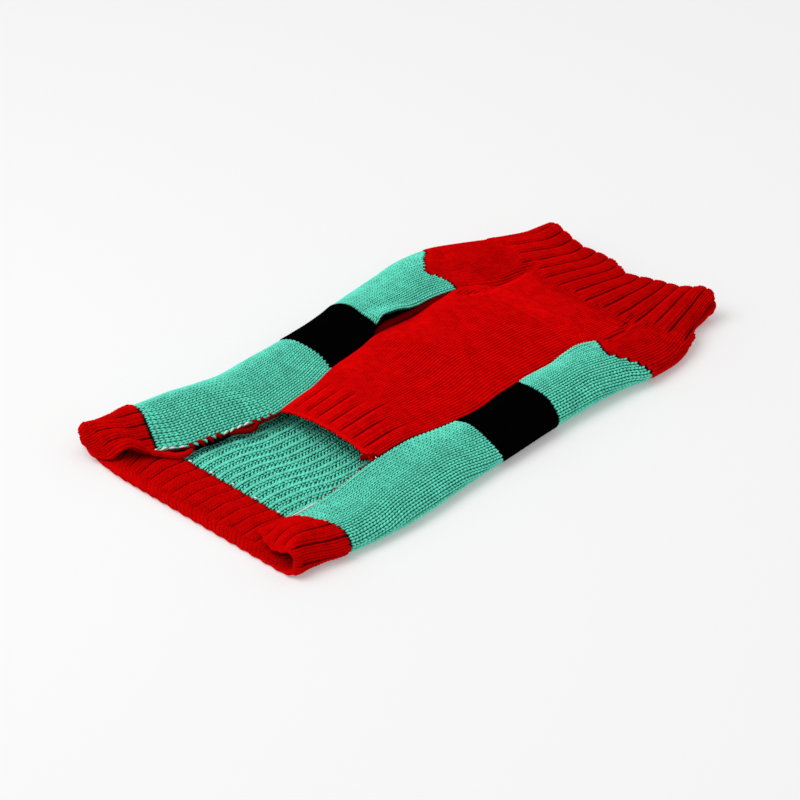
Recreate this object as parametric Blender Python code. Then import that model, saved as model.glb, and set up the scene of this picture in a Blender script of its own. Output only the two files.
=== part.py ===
"""Dog sweater, knitted, lying flat on its back panel with the belly side up.

Frame: +Z up, the floor at z = 0.  +Y runs from the tail hem to the neck, +X to the wearer's
left.  The origin is under the middle of the sweater, on the floor.

The cloth is one tube with an open tail: the back panel lies on the floor, wraps up round both
sides and folds inward on top; from the belly hem to the neck the belly panel closes the tube.
Every solid is a wall worked out from one table of sections.  "Station" is the distance from the
tail hem, "arc" is the distance along a section from the back panel's side edge.  All sizes in
the tables are millimetres.
"""
import math

import bpy
import numpy as np

MM = 0.001

# ---- driving sizes, mm --------------------------------------------------------------------
LENGTH = 459.0            # tail hem to collar rim
WALL = 2.4                # stockinette thickness
SEAM_HALF_GAP = 0.16      # half of the gap between neighbouring pieces
RIB_RAISE = 1.3           # rib height over the wall
RIB_PITCH = 12.0          # two knit wales and the groove beside them
HEM_BORDER = 9.0          # smooth cast-on border before the ribs begin
BELLY_HEM = 121.0         # station of the belly panel's open hem
BELLY_RIBS = 8
DROOP_END = 24.0          # station where the folded layers stop drooping towards the hem
DROOP_DIP = 1.2
DROOP_BEND = 2.2          # how late a drooping layer rises towards its fold
WIDEST = 0.37             # height of a side fold's outermost point, as a share of its rise
FOOT = 0.60               # how far inside that point the fold meets the floor, likewise
FOLD_POWER = 2.0 / 1.75   # squareness of the fold's shoulder
HOLE_SWELL = 0.15         # how much a lifted leg hole edge takes the crest of the fold with it
TRIM_RADIUS = 1.6         # strand bundle worked along the free side edges
TRIM_START = 40.0
TRIM_GAP = 0.6

# ---- sections of the tube -----------------------------------------------------------------
# half: centre line to outermost point.  rise: crest of the side fold.  shoulder: outermost
# point back to the crest.  edge_x, edge_z: the back panel's side edge, which is the side seam
# from the belly hem on.  crown: top of the belly panel.
COLUMNS = ("station",
           "l_half", "l_rise", "l_shoulder", "l_edge_x", "l_edge_z",
           "r_half", "r_rise", "r_shoulder", "r_edge_x", "r_edge_z", "crown")
SECTIONS = np.array((
    (0,   111, 18.4, 8,  60, 7.0,    107, 10.6, 6,  80, 6.4,    21.0),
    (7,   113, 19.2, 9,  61, 7.2,    111, 20.4, 6,  77, 6.8,    21.0),
    (12,  113, 19.8, 11, 61, 7.6,    111, 21.4, 8,  73, 12.0,   21.0),
    (17,  113.5, 20.2, 13, 62, 8.4,  110.5, 21.6, 11, 67, 15.5,  21.0),
    (28,  115, 20.2, 16, 65, 9.8,    109, 23.0, 13, 60, 9.0,    21.0),
    (38,  118, 20.0, 17, 68, 11.0,   108, 25.0, 14, 56, 8.5,    21.0),
    (55,  121, 19.5, 19, 70, 13.0,   106, 25.6, 16, 46, 9.5,    21.0),
    (75,  123, 19.5, 21, 69, 14.0,   104, 26.0, 18, 42, 10.5,   21.0),
    (100, 124, 20.0, 23, 65, 15.0,   100, 25.2, 20, 37, 11.0,   21.5),
    (121, 123, 20.5, 25, 63, 16.0,   99,  23.6, 22, 29, 16.0,   23.0),
    (150, 120, 21.5, 28, 62, 17.0,   101, 24.2, 23, 31, 19.0,   25.0),
    (185, 117, 22.5, 30, 68, 18.0,   104, 24.0, 25, 41, 19.5,   26.5),
    (215, 115, 23.5, 30, 71, 18.0,   107, 24.5, 27, 46, 19.5,   27.5),
    (245, 113, 25.0, 28, 67, 18.0,   112, 27.2, 36, 53, 19.0,   28.0),
    (275, 112, 26.0, 27, 65, 17.0,   117, 30.3, 46, 52, 18.5,   28.0),
    (305, 112, 27.0, 27, 65, 16.5,   122, 29.8, 42, 55, 19.6,   27.5),
    (330, 113, 26.0, 28, 67, 18.0,   126, 28.0, 34, 52, 22.0,   26.5),
    (350, 116, 23.5, 30, 71, 19.5,   125, 26.8, 32, 40, 21.5,   25.0),
    (375, 115, 20.5, 29, 71, 19.0,   118, 25.2, 30, 36, 22.0,   23.5),
    (395, 111, 19.8, 27, 69, 18.0,   110, 23.0, 27, 38, 20.6,   21.5),
    (415, 101, 19.8, 22, 65, 17.8,   99,  21.6, 24, 38, 19.6,   19.5),
    (435, 90,  20.2, 17, 61, 17.8,   89,  22.0, 20, 36, 19.4,   17.5),
    (450, 88,  21.4, 10, 58, 17.9,   87,  21.7, 18, 35, 19.2,   16.6),
    (465, 88,  22.0, 8,  56, 18.0,   85,  21.5, 17, 34, 19.0,   15.8),
), dtype=float)

# ---- leg holes: lift of the back panel's edge over the belly panel's, by station --------------
LEG_HOLES = {"l": ((258, 0), (272, 2.7), (296, 2.9), (310, 6.0), (322, 7.5), (338, 4.5), (352, 0)),
             "r": ((235, 0), (243, 11.0), (250, 14.5), (262, 13.0), (275, 9.0), (290, 5.8), (305, 4.2),
                   (330, 0))}

# ---- rows where the back panel changes colour, by arc distance from its side edge ------------
# Each row is (arc distance, station); the floor stretch between the two sides is straight.
HEM_ROW = {"l": ((0, 15), (8, 12), (18, 7.5), (30, 5), (50, 3), (75, 0)),
           "r": ((0, 6.5), (5, 2), (10, 0.3), (24, 0.5), (34, 3.5), (44, 7), (54, 7), (64, 4.5), (78, 1),
               (92, 0))}
RIB_ROW = {"l": ((0, 38), (10, 42), (25, 42), (36, 45), (46, 47), (57, 46), (75, 45)),
           "r": ((0, 33), (20, 38), (45, 44), (80, 46))}
BELT_REAR_ROW = {"l": ((0, 197), (10, 196), (38, 194), (48, 195), (58, 197), (75, 198)),
                 "r": ((0, 184), (20, 189), (55, 188), (85, 188))}
BELT_FRONT_ROW = {"l": ((0, 264), (12, 259), (22, 257), (36, 258), (46, 257), (70, 256)),
                  "r": ((0, 239), (20, 243), (45, 248), (85, 250))}
YOKE_ROW = {"l": ((0, 342), (5, 340), (18, 333), (25, 331), (31, 336), (38, 345), (46, 351),
                  (54, 354), (75, 358)),
            "r": ((0, 325), (10, 328), (18, 327), (27, 321), (42, 331.5), (54, 338.5), (64, 345.5),
                  (74, 352), (92, 355))}

# ---- collar: where its ribs begin and its rim, by share of the way round ----------------------
# The way round starts at the left seam, goes under the back and returns over the belly.
COLLAR_START = ((0.00, 379), (0.08, 390), (0.16, 398), (0.24, 392), (0.42, 380), (0.58, 392),
                (0.67, 396), (0.74, 386), (0.82, 377), (0.90, 373), (0.96, 374), (1.00, 379))
COLLAR_RIM = ((0.00, 453.5), (0.03, 457), (0.05, 460.5), (0.07, 460.5), (0.09, 458), (0.12, 457),
              (0.16, 458), (0.30, 459), (0.50, 459), (0.61, 461), (0.64, 459), (0.68, 454), (0.75, 448),
              (0.79, 450.5), (0.82, 450.5), (0.84, 448.5), (0.88, 442), (0.92, 447), (0.96, 451.5),
              (1.00, 453.5))
COLLAR_FROM, COLLAR_TO = 0.505, 1.115     # the ribbed share of the way round

RED = (0.60, 0.004, 0.006)
TURQUOISE = (0.12, 0.60, 0.42)
BLACK = (0.006, 0.006, 0.007)

# samples of each stretch of a section: top, shoulder, foot, floor, foot, shoulder, top
DENSE = (24, 24, 16, 48, 16, 24, 24)
PLAIN = (7, 7, 5, 12, 5, 7, 8)
PLAIN_STATION = 225.0      # the section whose stretches set the plain blocks' columns
STATION_STEP = 3.0
BELLY_SAMPLES = 48

# rows of each block of the back panel, as shares of its length at the left and right edge;
# one row of the rear block passes the belly hem on both sides
HEM_STEP = 5


def even_steps(count):
    return np.linspace(0, 1, count + 1), np.linspace(0, 1, count + 1)


def steps_past_hem(rib, belt):
    """Even rows from the rib row to the belly hem, and on to the belt."""
    at_hem = (BELLY_HEM - rib) / (belt - rib)
    return np.concatenate((np.linspace(0, at_hem, HEM_STEP + 1), np.linspace(at_hem, 1, 6)[1:]))


REAR_STEPS = (steps_past_hem(RIB_ROW["l"][0][1], BELT_REAR_ROW["l"][0][1]),
              steps_past_hem(RIB_ROW["r"][0][1], BELT_REAR_ROW["r"][0][1]))
BELT_STEPS = even_steps(4)
FRONT_STEPS = even_steps(7)
YOKE_STEPS = even_steps(4)


# ---- smooth curves through short tables --------------------------------------------------------
def smooth(knots_x, knots_y, x):
    """Monotone cubic through the knots; knots_y may have several columns."""
    knots_x = np.asarray(knots_x, float)
    knots_y = np.asarray(knots_y, float).reshape(len(knots_x), -1)
    step = np.diff(knots_x)[:, None]
    slope = np.diff(knots_y, axis=0) / step
    tangent = np.zeros_like(knots_y)
    before, after = slope[:-1], slope[1:]
    same_way = before * after > 0
    weight_before = 2 * step[1:] + step[:-1]
    weight_after = step[1:] + 2 * step[:-1]
    mean = (weight_before + weight_after) / (weight_before / np.where(same_way, before, 1.0)
                                             + weight_after / np.where(same_way, after, 1.0))
    tangent[1:-1] = np.where(same_way, mean, 0.0)
    tangent[0], tangent[-1] = slope[0], slope[-1]
    x = np.clip(np.asarray(x, float), knots_x[0], knots_x[-1])
    i = np.clip(np.searchsorted(knots_x, x, side="right") - 1, 0, len(knots_x) - 2)
    h = (knots_x[i + 1] - knots_x[i])
    t = ((x - knots_x[i]) / h)[..., None]
    h = h[..., None]
    y = ((1 + 2 * t) * (1 - t) ** 2 * knots_y[i] + t * (1 - t) ** 2 * h * tangent[i]
         + t * t * (3 - 2 * t) * knots_y[i + 1] - t * t * (1 - t) * h * tangent[i + 1])
    return y[..., 0] if y.shape[-1] == 1 else y


def table_at(rows, x):
    rows = np.asarray(rows, float)
    return smooth(rows[:, 0], rows[:, 1], x)


def ramp(x, start, end):
    t = np.clip((np.asarray(x, float) - start) / (end - start), 0.0, 1.0)
    return t * t * (3 - 2 * t)


def leg_lift(side, station):
    return table_at(LEG_HOLES[side], station)


# ---- one section of the back panel --------------------------------------------------------------
def side_stretches(half, rise, shoulder, edge_x, edge_z, droop, counts):
    """Points from the side edge over the crest and round the side to the floor.

    Droop 1 lets the folded layer hang low near its edge, 0 arches it."""
    top, round_top, foot = counts
    crest_x = half - shoulder
    widest_z = WIDEST * rise
    foot_x = half - FOOT * rise
    run = crest_x - edge_x
    drop = rise - edge_z
    t = np.arange(top)[:, None] / top
    start_dir = np.array((run, 1.35 * drop))
    end_dir = np.array((run, 0.0))
    start, end = np.array((edge_x, edge_z)), np.array((crest_x, rise))
    over_top = ((1 + 2 * t) * (1 - t) ** 2 * start + t * (1 - t) ** 2 * start_dir
                + t * t * (3 - 2 * t) * end - t * t * (1 - t) * end_dir)
    low = edge_z + drop * t[:, 0] ** DROOP_BEND - DROOP_DIP * np.sin(math.pi * t[:, 0])
    over_top[:, 1] = over_top[:, 1] * (1 - droop) + low * droop
    a = np.arange(round_top) / round_top * math.pi / 2
    over_side = np.column_stack((crest_x + shoulder * np.sin(a) ** FOLD_POWER,
                                 widest_z + (rise - widest_z) * np.cos(a) ** FOLD_POWER))
    a = np.arange(foot) / foot * math.pi / 2
    under = np.column_stack((foot_x + (half - foot_x) * np.cos(a), widest_z * (1 - np.sin(a))))
    return over_top, over_side, under, foot_x


def back_section(row, counts):
    """The whole outer line of the back panel at one station, left edge to right edge."""
    value = dict(zip(COLUMNS, row))
    sides = {}
    droop = 1.0 - ramp(value["station"], 3.0, DROOP_END)
    for side, piece in (("l", counts[:3]), ("r", counts[:3:-1])):
        lift = leg_lift(side, value["station"])
        edge_z = value[side + "_edge_z"] + lift
        rise = value[side + "_rise"]
        rise += HOLE_SWELL * max(0.0, edge_z + 1.0 - rise)
        sides[side] = side_stretches(value[side + "_half"], rise, value[side + "_shoulder"],
                                     value[side + "_edge_x"], edge_z, droop, piece)
    left = np.vstack(sides["l"][:3])
    right = np.vstack(sides["r"][:3])
    right[:, 0] *= -1
    t = np.arange(counts[3])[:, None] / counts[3]
    floor_start, floor_end = sides["l"][3], -sides["r"][3]
    floor = np.hstack((floor_start + (floor_end - floor_start) * t, np.zeros_like(t)))
    foot_end = np.array(((floor_end, 0.0),))
    return np.vstack((left, floor, foot_end, right[:0:-1], right[:1]))


def belly_section(row, samples):
    """The belly panel's outer line at one station, left seam to right seam."""
    value = dict(zip(COLUMNS, row))
    u = np.linspace(0.0, 1.0, samples)
    x = value["l_edge_x"] * (1 - u) - value["r_edge_x"] * u
    base = value["l_edge_z"] * (1 - u) + value["r_edge_z"] * u
    mean = 0.5 * (value["l_edge_z"] + value["r_edge_z"])
    bulge = (1 - (2 * u - 1) ** 2) ** 0.8
    return np.column_stack((x, base + (value["crown"] - mean) * bulge))


class Sheet:
    """A smooth surface over (share of the way across, station), read from dense sections."""

    def __init__(self, sections, stations, even):
        self.stations = stations
        self.lines = np.array([self.spread(line) if even else line for line in sections])
        self.length = np.array([np.hypot(*np.diff(line, axis=0).T).sum() for line in sections])

    @staticmethod
    def spread(line):
        along = np.concatenate(([0], np.cumsum(np.hypot(*np.diff(line, axis=0).T))))
        even = np.linspace(0, along[-1], len(line))
        return np.column_stack((np.interp(even, along, line[:, 0]),
                                np.interp(even, along, line[:, 1])))

    def width(self, station):
        return np.interp(station, self.stations, self.length)

    def point(self, share, station):
        share, station = np.broadcast_arrays(share, station)
        i = np.clip((station - self.stations[0]) / STATION_STEP, 0, len(self.stations) - 1.000001)
        j = np.clip(share * (self.lines.shape[1] - 1), 0, self.lines.shape[1] - 1.000001)
        i0, j0 = i.astype(int), j.astype(int)
        ti, tj = (i - i0)[..., None], (j - j0)[..., None]
        xz = ((self.lines[i0, j0] * (1 - tj) + self.lines[i0, j0 + 1] * tj) * (1 - ti)
              + (self.lines[i0 + 1, j0] * (1 - tj) + self.lines[i0 + 1, j0 + 1] * tj) * ti)
        return np.stack((xz[..., 0], station, xz[..., 1]), axis=-1)

    def normal(self, share, station):
        """Unit normal away from the tube's hollow."""
        a, b = np.clip(share - 0.004, 0, 1), np.clip(share + 0.004, 0, 1)
        across = self.point(b, station) - self.point(a, station)
        along = self.point(share, station + 2.0) - self.point(share, station - 2.0)
        n = np.cross(across, along)
        return n / np.linalg.norm(n, axis=-1, keepdims=True)


STATIONS = np.arange(0.0, 466.0, STATION_STEP)
ROWS = np.column_stack((STATIONS, smooth(SECTIONS[:, 0], SECTIONS[:, 1:], STATIONS)))
BACK_LINES = [back_section(row, DENSE) for row in ROWS]
BELLY_LINES = [belly_section(row, BELLY_SAMPLES) for row in ROWS]
RING_LINES = [np.vstack((back, belly[::-1][1:])) for back, belly in zip(BACK_LINES, BELLY_LINES)]
BACK = Sheet(BACK_LINES, STATIONS, even=True)
BACK_BY_STRETCH = Sheet(BACK_LINES, STATIONS, even=False)
BELLY = Sheet(BELLY_LINES, STATIONS, even=True)
RING = Sheet(RING_LINES, STATIONS, even=True)


def seam_normal(side, station):
    """Shared direction of the back and belly panels' edges where they are sewn together."""
    back_share, belly_share = (0.0, 0.0) if side == "l" else (1.0, 1.0)
    back = BACK.normal(np.full_like(station, back_share), station)
    belly = -BELLY.normal(np.full_like(station, belly_share), station)
    both = back + belly
    both /= np.linalg.norm(both, axis=-1, keepdims=True)
    sewn = ramp(station, BELLY_HEM - 8, BELLY_HEM - 1) * (1 - np.clip(leg_lift(side, station), 0, 1))
    return back, belly, both, sewn[..., None]


def turn_on_ring(sheet, share, station):
    """Share of the way round the ring of a point on the back or the belly panel."""
    if sheet is BACK:
        return share * BACK.width(station) / RING.width(station)
    return 1.0 - share * BELLY.width(station) / RING.width(station)


def collar_meeting(sheet, share):
    """Where a panel's front edge meets the collar: station and share of the way round."""
    station = np.full(np.shape(share), 385.0)
    for _ in range(6):
        station = table_at(COLLAR_START, turn_on_ring(sheet, share, station)) - SEAM_HALF_GAP
    return station, turn_on_ring(sheet, share, station)


# ---- rows across the back panel -----------------------------------------------------------------
def row_station(row, share):
    """Station of a colour row at each share of the way across the back panel."""
    probe = float(np.mean([station for _, station in row["l"]]))
    width = BACK.width(probe)
    arc = np.asarray(share) * width
    left_end, right_end = row["l"][-1][0], row["r"][-1][0]
    left = table_at(row["l"], arc)
    right = table_at(row["r"], width - arc)
    middle = np.interp(arc, (left_end, width - right_end), (row["l"][-1][1], row["r"][-1][1]))
    return np.where(arc < left_end, left, np.where(arc > width - right_end, right, middle))


def stretch_shares(counts, station):
    """Shares of the way across at even steps of each stretch of the section at a station."""
    starts = np.concatenate(([0], np.cumsum(DENSE)))
    index = np.concatenate([np.linspace(starts[k], starts[k + 1], n, endpoint=False)
                            for k, n in enumerate(counts)] + [[starts[-1]]])
    line = BACK_BY_STRETCH.lines[int(round(station / STATION_STEP))]
    along = np.concatenate(([0], np.cumsum(np.hypot(*np.diff(line, axis=0).T))))
    return np.interp(index, np.arange(len(along)), along) / along[-1]


# ---- ribs ------------------------------------------------------------------------------------------
RIB_PHASES = np.array((0.0, 0.12, 0.30, 0.52, 0.74, 0.90))


def rib_height(phase):
    """Broad rounded rib with a narrow groove at phase 0."""
    from_groove = np.abs((np.asarray(phase) + 0.5) % 1.0 - 0.5)
    return np.clip(from_groove / 0.24, 0, 1) ** 0.7


def rib_shares(count, first, last):
    steps = (np.arange(count)[:, None] + RIB_PHASES[None, :]).ravel() / count
    return first + (last - first) * np.concatenate((steps, [1.0]))


# ---- solids --------------------------------------------------------------------------------------
def material(name, colour):
    mat = bpy.data.materials.new(name)
    mat.use_nodes = True
    shader = mat.node_tree.nodes["Principled BSDF"]
    shader.inputs["Base Color"].default_value = (*colour, 1.0)
    shader.inputs["Roughness"].default_value = 0.9
    shader.inputs["Metallic"].default_value = 0.0
    return mat


def add_object(name, points, faces, mat):
    mesh = bpy.data.meshes.new(name)
    mesh.from_pydata((np.asarray(points) * MM).tolist(), [], faces)
    mesh.validate()
    mesh.materials.append(mat)
    mesh.shade_smooth()
    mesh.set_sharp_from_angle(angle=math.radians(50))
    obj = bpy.data.objects.new(name, mesh)
    bpy.context.collection.objects.link(obj)
    return obj


def wall(name, outer, inner, mat, ring=False):
    """A closed wall between two grids of points, rows along the station axis."""
    rows, cols = outer.shape[:2]
    points = np.vstack((outer.reshape(-1, 3), inner.reshape(-1, 3)))
    lift = rows * cols
    faces = []
    spans = cols if ring else cols - 1
    for i in range(rows - 1):
        for j in range(spans):
            a, b = i * cols + j, i * cols + (j + 1) % cols
            c, d = b + cols, a + cols
            faces.append((a, b, c, d))
            faces.append((lift + d, lift + c, lift + b, lift + a))
    for j in range(spans):
        b = (j + 1) % cols
        top = (rows - 1) * cols
        faces.append((j, lift + j, lift + b, b))
        faces.append((top + b, lift + top + b, lift + top + j, top + j))
    if not ring:
        for i in range(rows - 1):
            a, d = i * cols, (i + 1) * cols
            faces.append((a, d, lift + d, lift + a))
            b, c = a + cols - 1, d + cols - 1
            faces.append((b, lift + b, lift + c, c))
    return add_object(name, points, faces, mat)


def keep_on_floor(points):
    points[..., 2] = np.where(points[..., 2] < 0.02, 0.0, points[..., 2])
    return points


def back_piece(name, shares, rear_row, front_row, steps, mat, ribs=0):
    """A block of the back panel between two rows; ribs is their number across, 0 for plain.

    With no front row the block runs on to the collar."""
    rear = row_station(rear_row, shares) + (0.0 if rear_row is HEM_ROW else SEAM_HALF_GAP)
    if front_row is None:
        front, turn = collar_meeting(BACK, shares)
    else:
        front = row_station(front_row, shares) - SEAM_HALF_GAP
    left_steps, right_steps = np.asarray(steps[0])[:, None], np.asarray(steps[1])[:, None]
    station = rear + (front - rear) * (left_steps + (right_steps - left_steps) * shares)
    edge_gap = SEAM_HALF_GAP / BACK.width(station)
    share = np.clip(np.broadcast_to(shares, station.shape), edge_gap, 1 - edge_gap)
    base = BACK.point(share, station)
    out = BACK.normal(share, station)
    for column, side in ((0, "l"), (-1, "r")):
        back, _, both, sewn = seam_normal(side, station[:, column])
        mitred = back * (1 - sewn) + both * sewn
        out[:, column] = mitred / np.linalg.norm(mitred, axis=-1, keepdims=True)
    if front_row is None:
        out[-1] = ring_normal(turn, front)
    outer, inner = base.copy(), base - WALL * out
    if ribs:
        off_floor = ramp(base[..., 2], 0.5, 7.0)
        from_hem = ramp(station - rear, 0.5 * HEM_BORDER, 1.6 * HEM_BORDER)
        outside = rib_height(share * ribs) * off_floor * from_hem
        inside = rib_height(share * ribs + 0.5) * (1 - off_floor) * from_hem
        outer = outer + RIB_RAISE * outside[..., None] * out
        inner = inner - RIB_RAISE * inside[..., None] * out
    return wall(name, keep_on_floor(outer), inner, mat)


def belly_piece(name, station, shares, mat, ribs=0):
    """A stretch of the belly panel over a grid of stations; ribs is their number across.

    Without ribs it is the stretch that runs on to the collar."""
    edge_gap = SEAM_HALF_GAP / BELLY.width(station)
    share = np.clip(np.broadcast_to(shares, station.shape), edge_gap, 1 - edge_gap)
    base = BELLY.point(share, station)
    out = -BELLY.normal(share, station)
    for column, side in ((0, "l"), (-1, "r")):
        _, belly, both, sewn = seam_normal(side, station[:, column])
        mitred = belly * (1 - sewn) + both * sewn
        out[:, column] = mitred / np.linalg.norm(mitred, axis=-1, keepdims=True)
    if not ribs:
        front, turn = collar_meeting(BELLY, shares)
        out[-1] = ring_normal(turn, front)
    outer, inner = base.copy(), base - WALL * out
    if ribs:
        uneven = 6.0 * np.sin(7.0 * share * math.pi) + 4.0 * np.sin(17.0 * share + 1.0)
        fade_end = station[-1] - 4.0 + 0.4 * uneven
        fade = 1 - ramp(station, fade_end - 20 + uneven, fade_end)
        border = ramp(station - station[0], 0.5 * HEM_BORDER, 1.5 * HEM_BORDER)
        edge = ramp(share, 0.0, 0.06) * ramp(1 - share, 0.0, 0.06)
        outer = outer + RIB_RAISE * (rib_height(share * ribs) * fade * border * edge)[..., None] * out
    return wall(name, outer[:, ::-1], inner[:, ::-1], mat)


def belly_rows(shares):
    """Stations of the belly panel's rows; at its side seams they meet the back panel's rows."""
    ends = []
    for side, share in (("l", 0.0), ("r", 1.0)):
        steps = REAR_STEPS[0 if side == "l" else 1]
        rib = row_station(RIB_ROW, share)
        belt_rear = row_station(BELT_REAR_ROW, share)
        belt_front = row_station(BELT_FRONT_ROW, share)
        yoke = row_station(YOKE_ROW, share)
        rows = [rib + (belt_rear - rib) * step for step in steps if step > steps[HEM_STEP] - 1e-6]
        rows += [belt_rear + (belt_front - belt_rear) * step for step in BELT_STEPS[0][1:]]
        rows += [belt_front + (yoke - belt_front) * step for step in FRONT_STEPS[0][1:]]
        ends.append(np.array(rows, float))
    rows = ends[0][:, None] + (ends[1] - ends[0])[:, None] * shares
    front = collar_meeting(BELLY, shares)[0]
    last = rows[-1] + (front - rows[-1]) * np.asarray(YOKE_STEPS[0])[1:, None]
    return np.vstack((rows, last))


def collar_piece(name, mat):
    """The ribbed neck ring; its underside stays flat on the floor."""
    ribs = int(round(RING.width(LENGTH) * (COLLAR_TO - COLLAR_FROM) / RIB_PITCH))
    ribbed = rib_shares(ribs, COLLAR_FROM, COLLAR_TO)
    plain = np.linspace(COLLAR_TO, COLLAR_FROM + 1.0, 24)[1:-1]
    share = np.concatenate((ribbed, plain))
    turn = share % 1.0
    start = table_at(COLLAR_START, turn) + SEAM_HALF_GAP
    rim = table_at(COLLAR_RIM, turn)
    steps = np.array((0.0, 0.10, 0.22, 0.42, 0.64, 0.86, 1.0))[:, None]
    station = start + (rim - start) * steps
    turns = np.broadcast_to(turn, station.shape)
    base = RING.point(turns, station)
    out = ring_normal(turns, station)
    phase = (share - COLLAR_FROM) / (COLLAR_TO - COLLAR_FROM) * ribs
    ends = (ramp(share, COLLAR_FROM, COLLAR_FROM + 0.03)
            * (1 - ramp(share, COLLAR_TO - 0.03, COLLAR_TO)))
    fade = ramp(steps, 0.04, 0.26)
    off_floor = ramp(base[..., 2], 0.5, 6.0)
    raised = rib_height(phase) * ends * fade * off_floor
    outer = base + RIB_RAISE * raised[..., None] * out
    return wall(name, keep_on_floor(outer), base - WALL * out, mat, ring=True)


def ring_normal(turn, station):
    step = 0.006
    across = RING.point((turn + step) % 1.0, station) - RING.point((turn - step) % 1.0, station)
    along = RING.point(turn, station + 2.0) - RING.point(turn, station - 2.0)
    n = np.cross(across, along)
    return n / np.linalg.norm(n, axis=-1, keepdims=True)


def edge_trim(name, side, mat):
    """The strand bundle along a free side edge, from the rib to the belly hem."""
    share = 0.0 if side == "l" else 1.0
    inner_share = 0.01 if side == "l" else 0.99
    station = np.linspace(TRIM_START, BELLY_HEM - 1.5, 22)
    edge = BACK.point(np.full_like(station, share), station)
    outward = edge - BACK.point(np.full_like(station, inner_share), station)
    outward /= np.linalg.norm(outward, axis=-1, keepdims=True)
    normal = BACK.normal(np.full_like(station, share), station)
    centre = edge - 0.5 * WALL * normal + (TRIM_RADIUS + TRIM_GAP) * outward
    tangent = np.gradient(centre, axis=0)
    tangent /= np.linalg.norm(tangent, axis=-1, keepdims=True)
    up = normal - (normal * tangent).sum(-1, keepdims=True) * tangent
    up /= np.linalg.norm(up, axis=-1, keepdims=True)
    beside = np.cross(tangent, up)
    sides = 8
    angle = np.arange(sides) * 2 * math.pi / sides
    ring = (centre[:, None] + TRIM_RADIUS * (np.cos(angle)[None, :, None] * up[:, None]
                                             + np.sin(angle)[None, :, None] * beside[:, None]))
    points = ring.reshape(-1, 3)
    faces = []
    for i in range(len(station) - 1):
        for j in range(sides):
            a, b = i * sides + j, i * sides + (j + 1) % sides
            faces.append((a, b, b + sides, a + sides))
    faces.append(tuple(reversed(range(sides))))
    faces.append(tuple((len(station) - 1) * sides + j for j in range(sides)))
    return add_object(name, points, faces, mat)


def centre_on_floor(objects):
    """Shift every point so that the origin is under the middle of the whole sweater."""
    low = np.min([v.co[:] for o in objects for v in o.data.vertices], axis=0)
    high = np.max([v.co[:] for o in objects for v in o.data.vertices], axis=0)
    for obj in objects:
        for vertex in obj.data.vertices:
            vertex.co.x -= 0.5 * (low[0] + high[0])
            vertex.co.y -= 0.5 * (low[1] + high[1])


def build():
    for obj in list(bpy.data.objects):
        bpy.data.objects.remove(obj, do_unlink=True)
    red = material("red knit", RED)
    turquoise = material("turquoise knit", TURQUOISE)
    black = material("black knit", BLACK)
    hem_ribs = int(round(BACK.width(20.0) / RIB_PITCH))
    plain_shares = stretch_shares(PLAIN, PLAIN_STATION)
    hem_steps = (0.0, 0.14, 0.30, 0.60, 1.0)
    pieces = [
        back_piece("hem_rib", rib_shares(hem_ribs, 0.0, 1.0), HEM_ROW, RIB_ROW,
                   (hem_steps, hem_steps), red, ribs=hem_ribs),
        back_piece("back_rear", plain_shares, RIB_ROW, BELT_REAR_ROW, REAR_STEPS, turquoise),
        back_piece("back_belt", plain_shares, BELT_REAR_ROW, BELT_FRONT_ROW, BELT_STEPS, black),
        back_piece("back_front", plain_shares, BELT_FRONT_ROW, YOKE_ROW, FRONT_STEPS, turquoise),
        back_piece("back_yoke", plain_shares, YOKE_ROW, None, YOKE_STEPS, red),
    ]
    ribbed, plain = rib_shares(BELLY_RIBS, 0.0, 1.0), np.linspace(0, 1, 19)
    rows = belly_rows(ribbed)[:4]
    border = rows[0] + (rows[1] - rows[0]) * np.array((0.3, 0.65))[:, None]
    rows = np.vstack((rows[:1], border, rows[1:3], rows[3:] - SEAM_HALF_GAP))
    pieces.append(belly_piece("belly_hem_rib", rows, ribbed, red, ribs=BELLY_RIBS))
    rows = belly_rows(plain)[3:]
    rows[0] += SEAM_HALF_GAP
    pieces.append(belly_piece("belly_panel", rows, plain, red))
    pieces.append(collar_piece("collar", red))
    pieces.append(edge_trim("edge_trim_left", "l", red))
    pieces.append(edge_trim("edge_trim_right", "r", red))
    centre_on_floor(pieces)


build()
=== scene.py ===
"""Dog sweater, knitted, lying flat on its back panel with the belly side up.

Each block of cloth is a thin shell on its solid's form with soft creases given in a table.  One
Geometry Nodes tree knits the stitches onto the shells and sews the loops along the free edges.
Tables are in millimetres.  "Station" is the distance from the tail hem, "share" the part of
the way across a panel, and "turn" the part of the way round the tube: it starts at the left
seam, goes under the back and returns over the belly.
"""
import math

import bpy
import numpy as np
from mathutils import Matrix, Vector

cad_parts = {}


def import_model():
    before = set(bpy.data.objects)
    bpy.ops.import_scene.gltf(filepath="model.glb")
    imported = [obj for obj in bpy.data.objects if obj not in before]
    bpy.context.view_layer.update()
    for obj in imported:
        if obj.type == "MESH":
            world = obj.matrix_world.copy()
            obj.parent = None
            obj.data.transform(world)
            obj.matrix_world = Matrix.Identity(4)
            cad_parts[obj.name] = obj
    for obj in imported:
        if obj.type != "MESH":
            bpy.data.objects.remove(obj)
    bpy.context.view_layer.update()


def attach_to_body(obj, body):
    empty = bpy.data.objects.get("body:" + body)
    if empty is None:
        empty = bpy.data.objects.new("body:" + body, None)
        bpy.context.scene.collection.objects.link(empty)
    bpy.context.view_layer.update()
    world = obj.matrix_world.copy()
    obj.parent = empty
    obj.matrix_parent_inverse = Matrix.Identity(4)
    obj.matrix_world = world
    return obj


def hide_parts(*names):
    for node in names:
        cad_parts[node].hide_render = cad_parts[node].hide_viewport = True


MM = 0.001
SHIFT = np.array((0.9564, -230.5691, 0.0))    # the solids' centre shift

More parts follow.
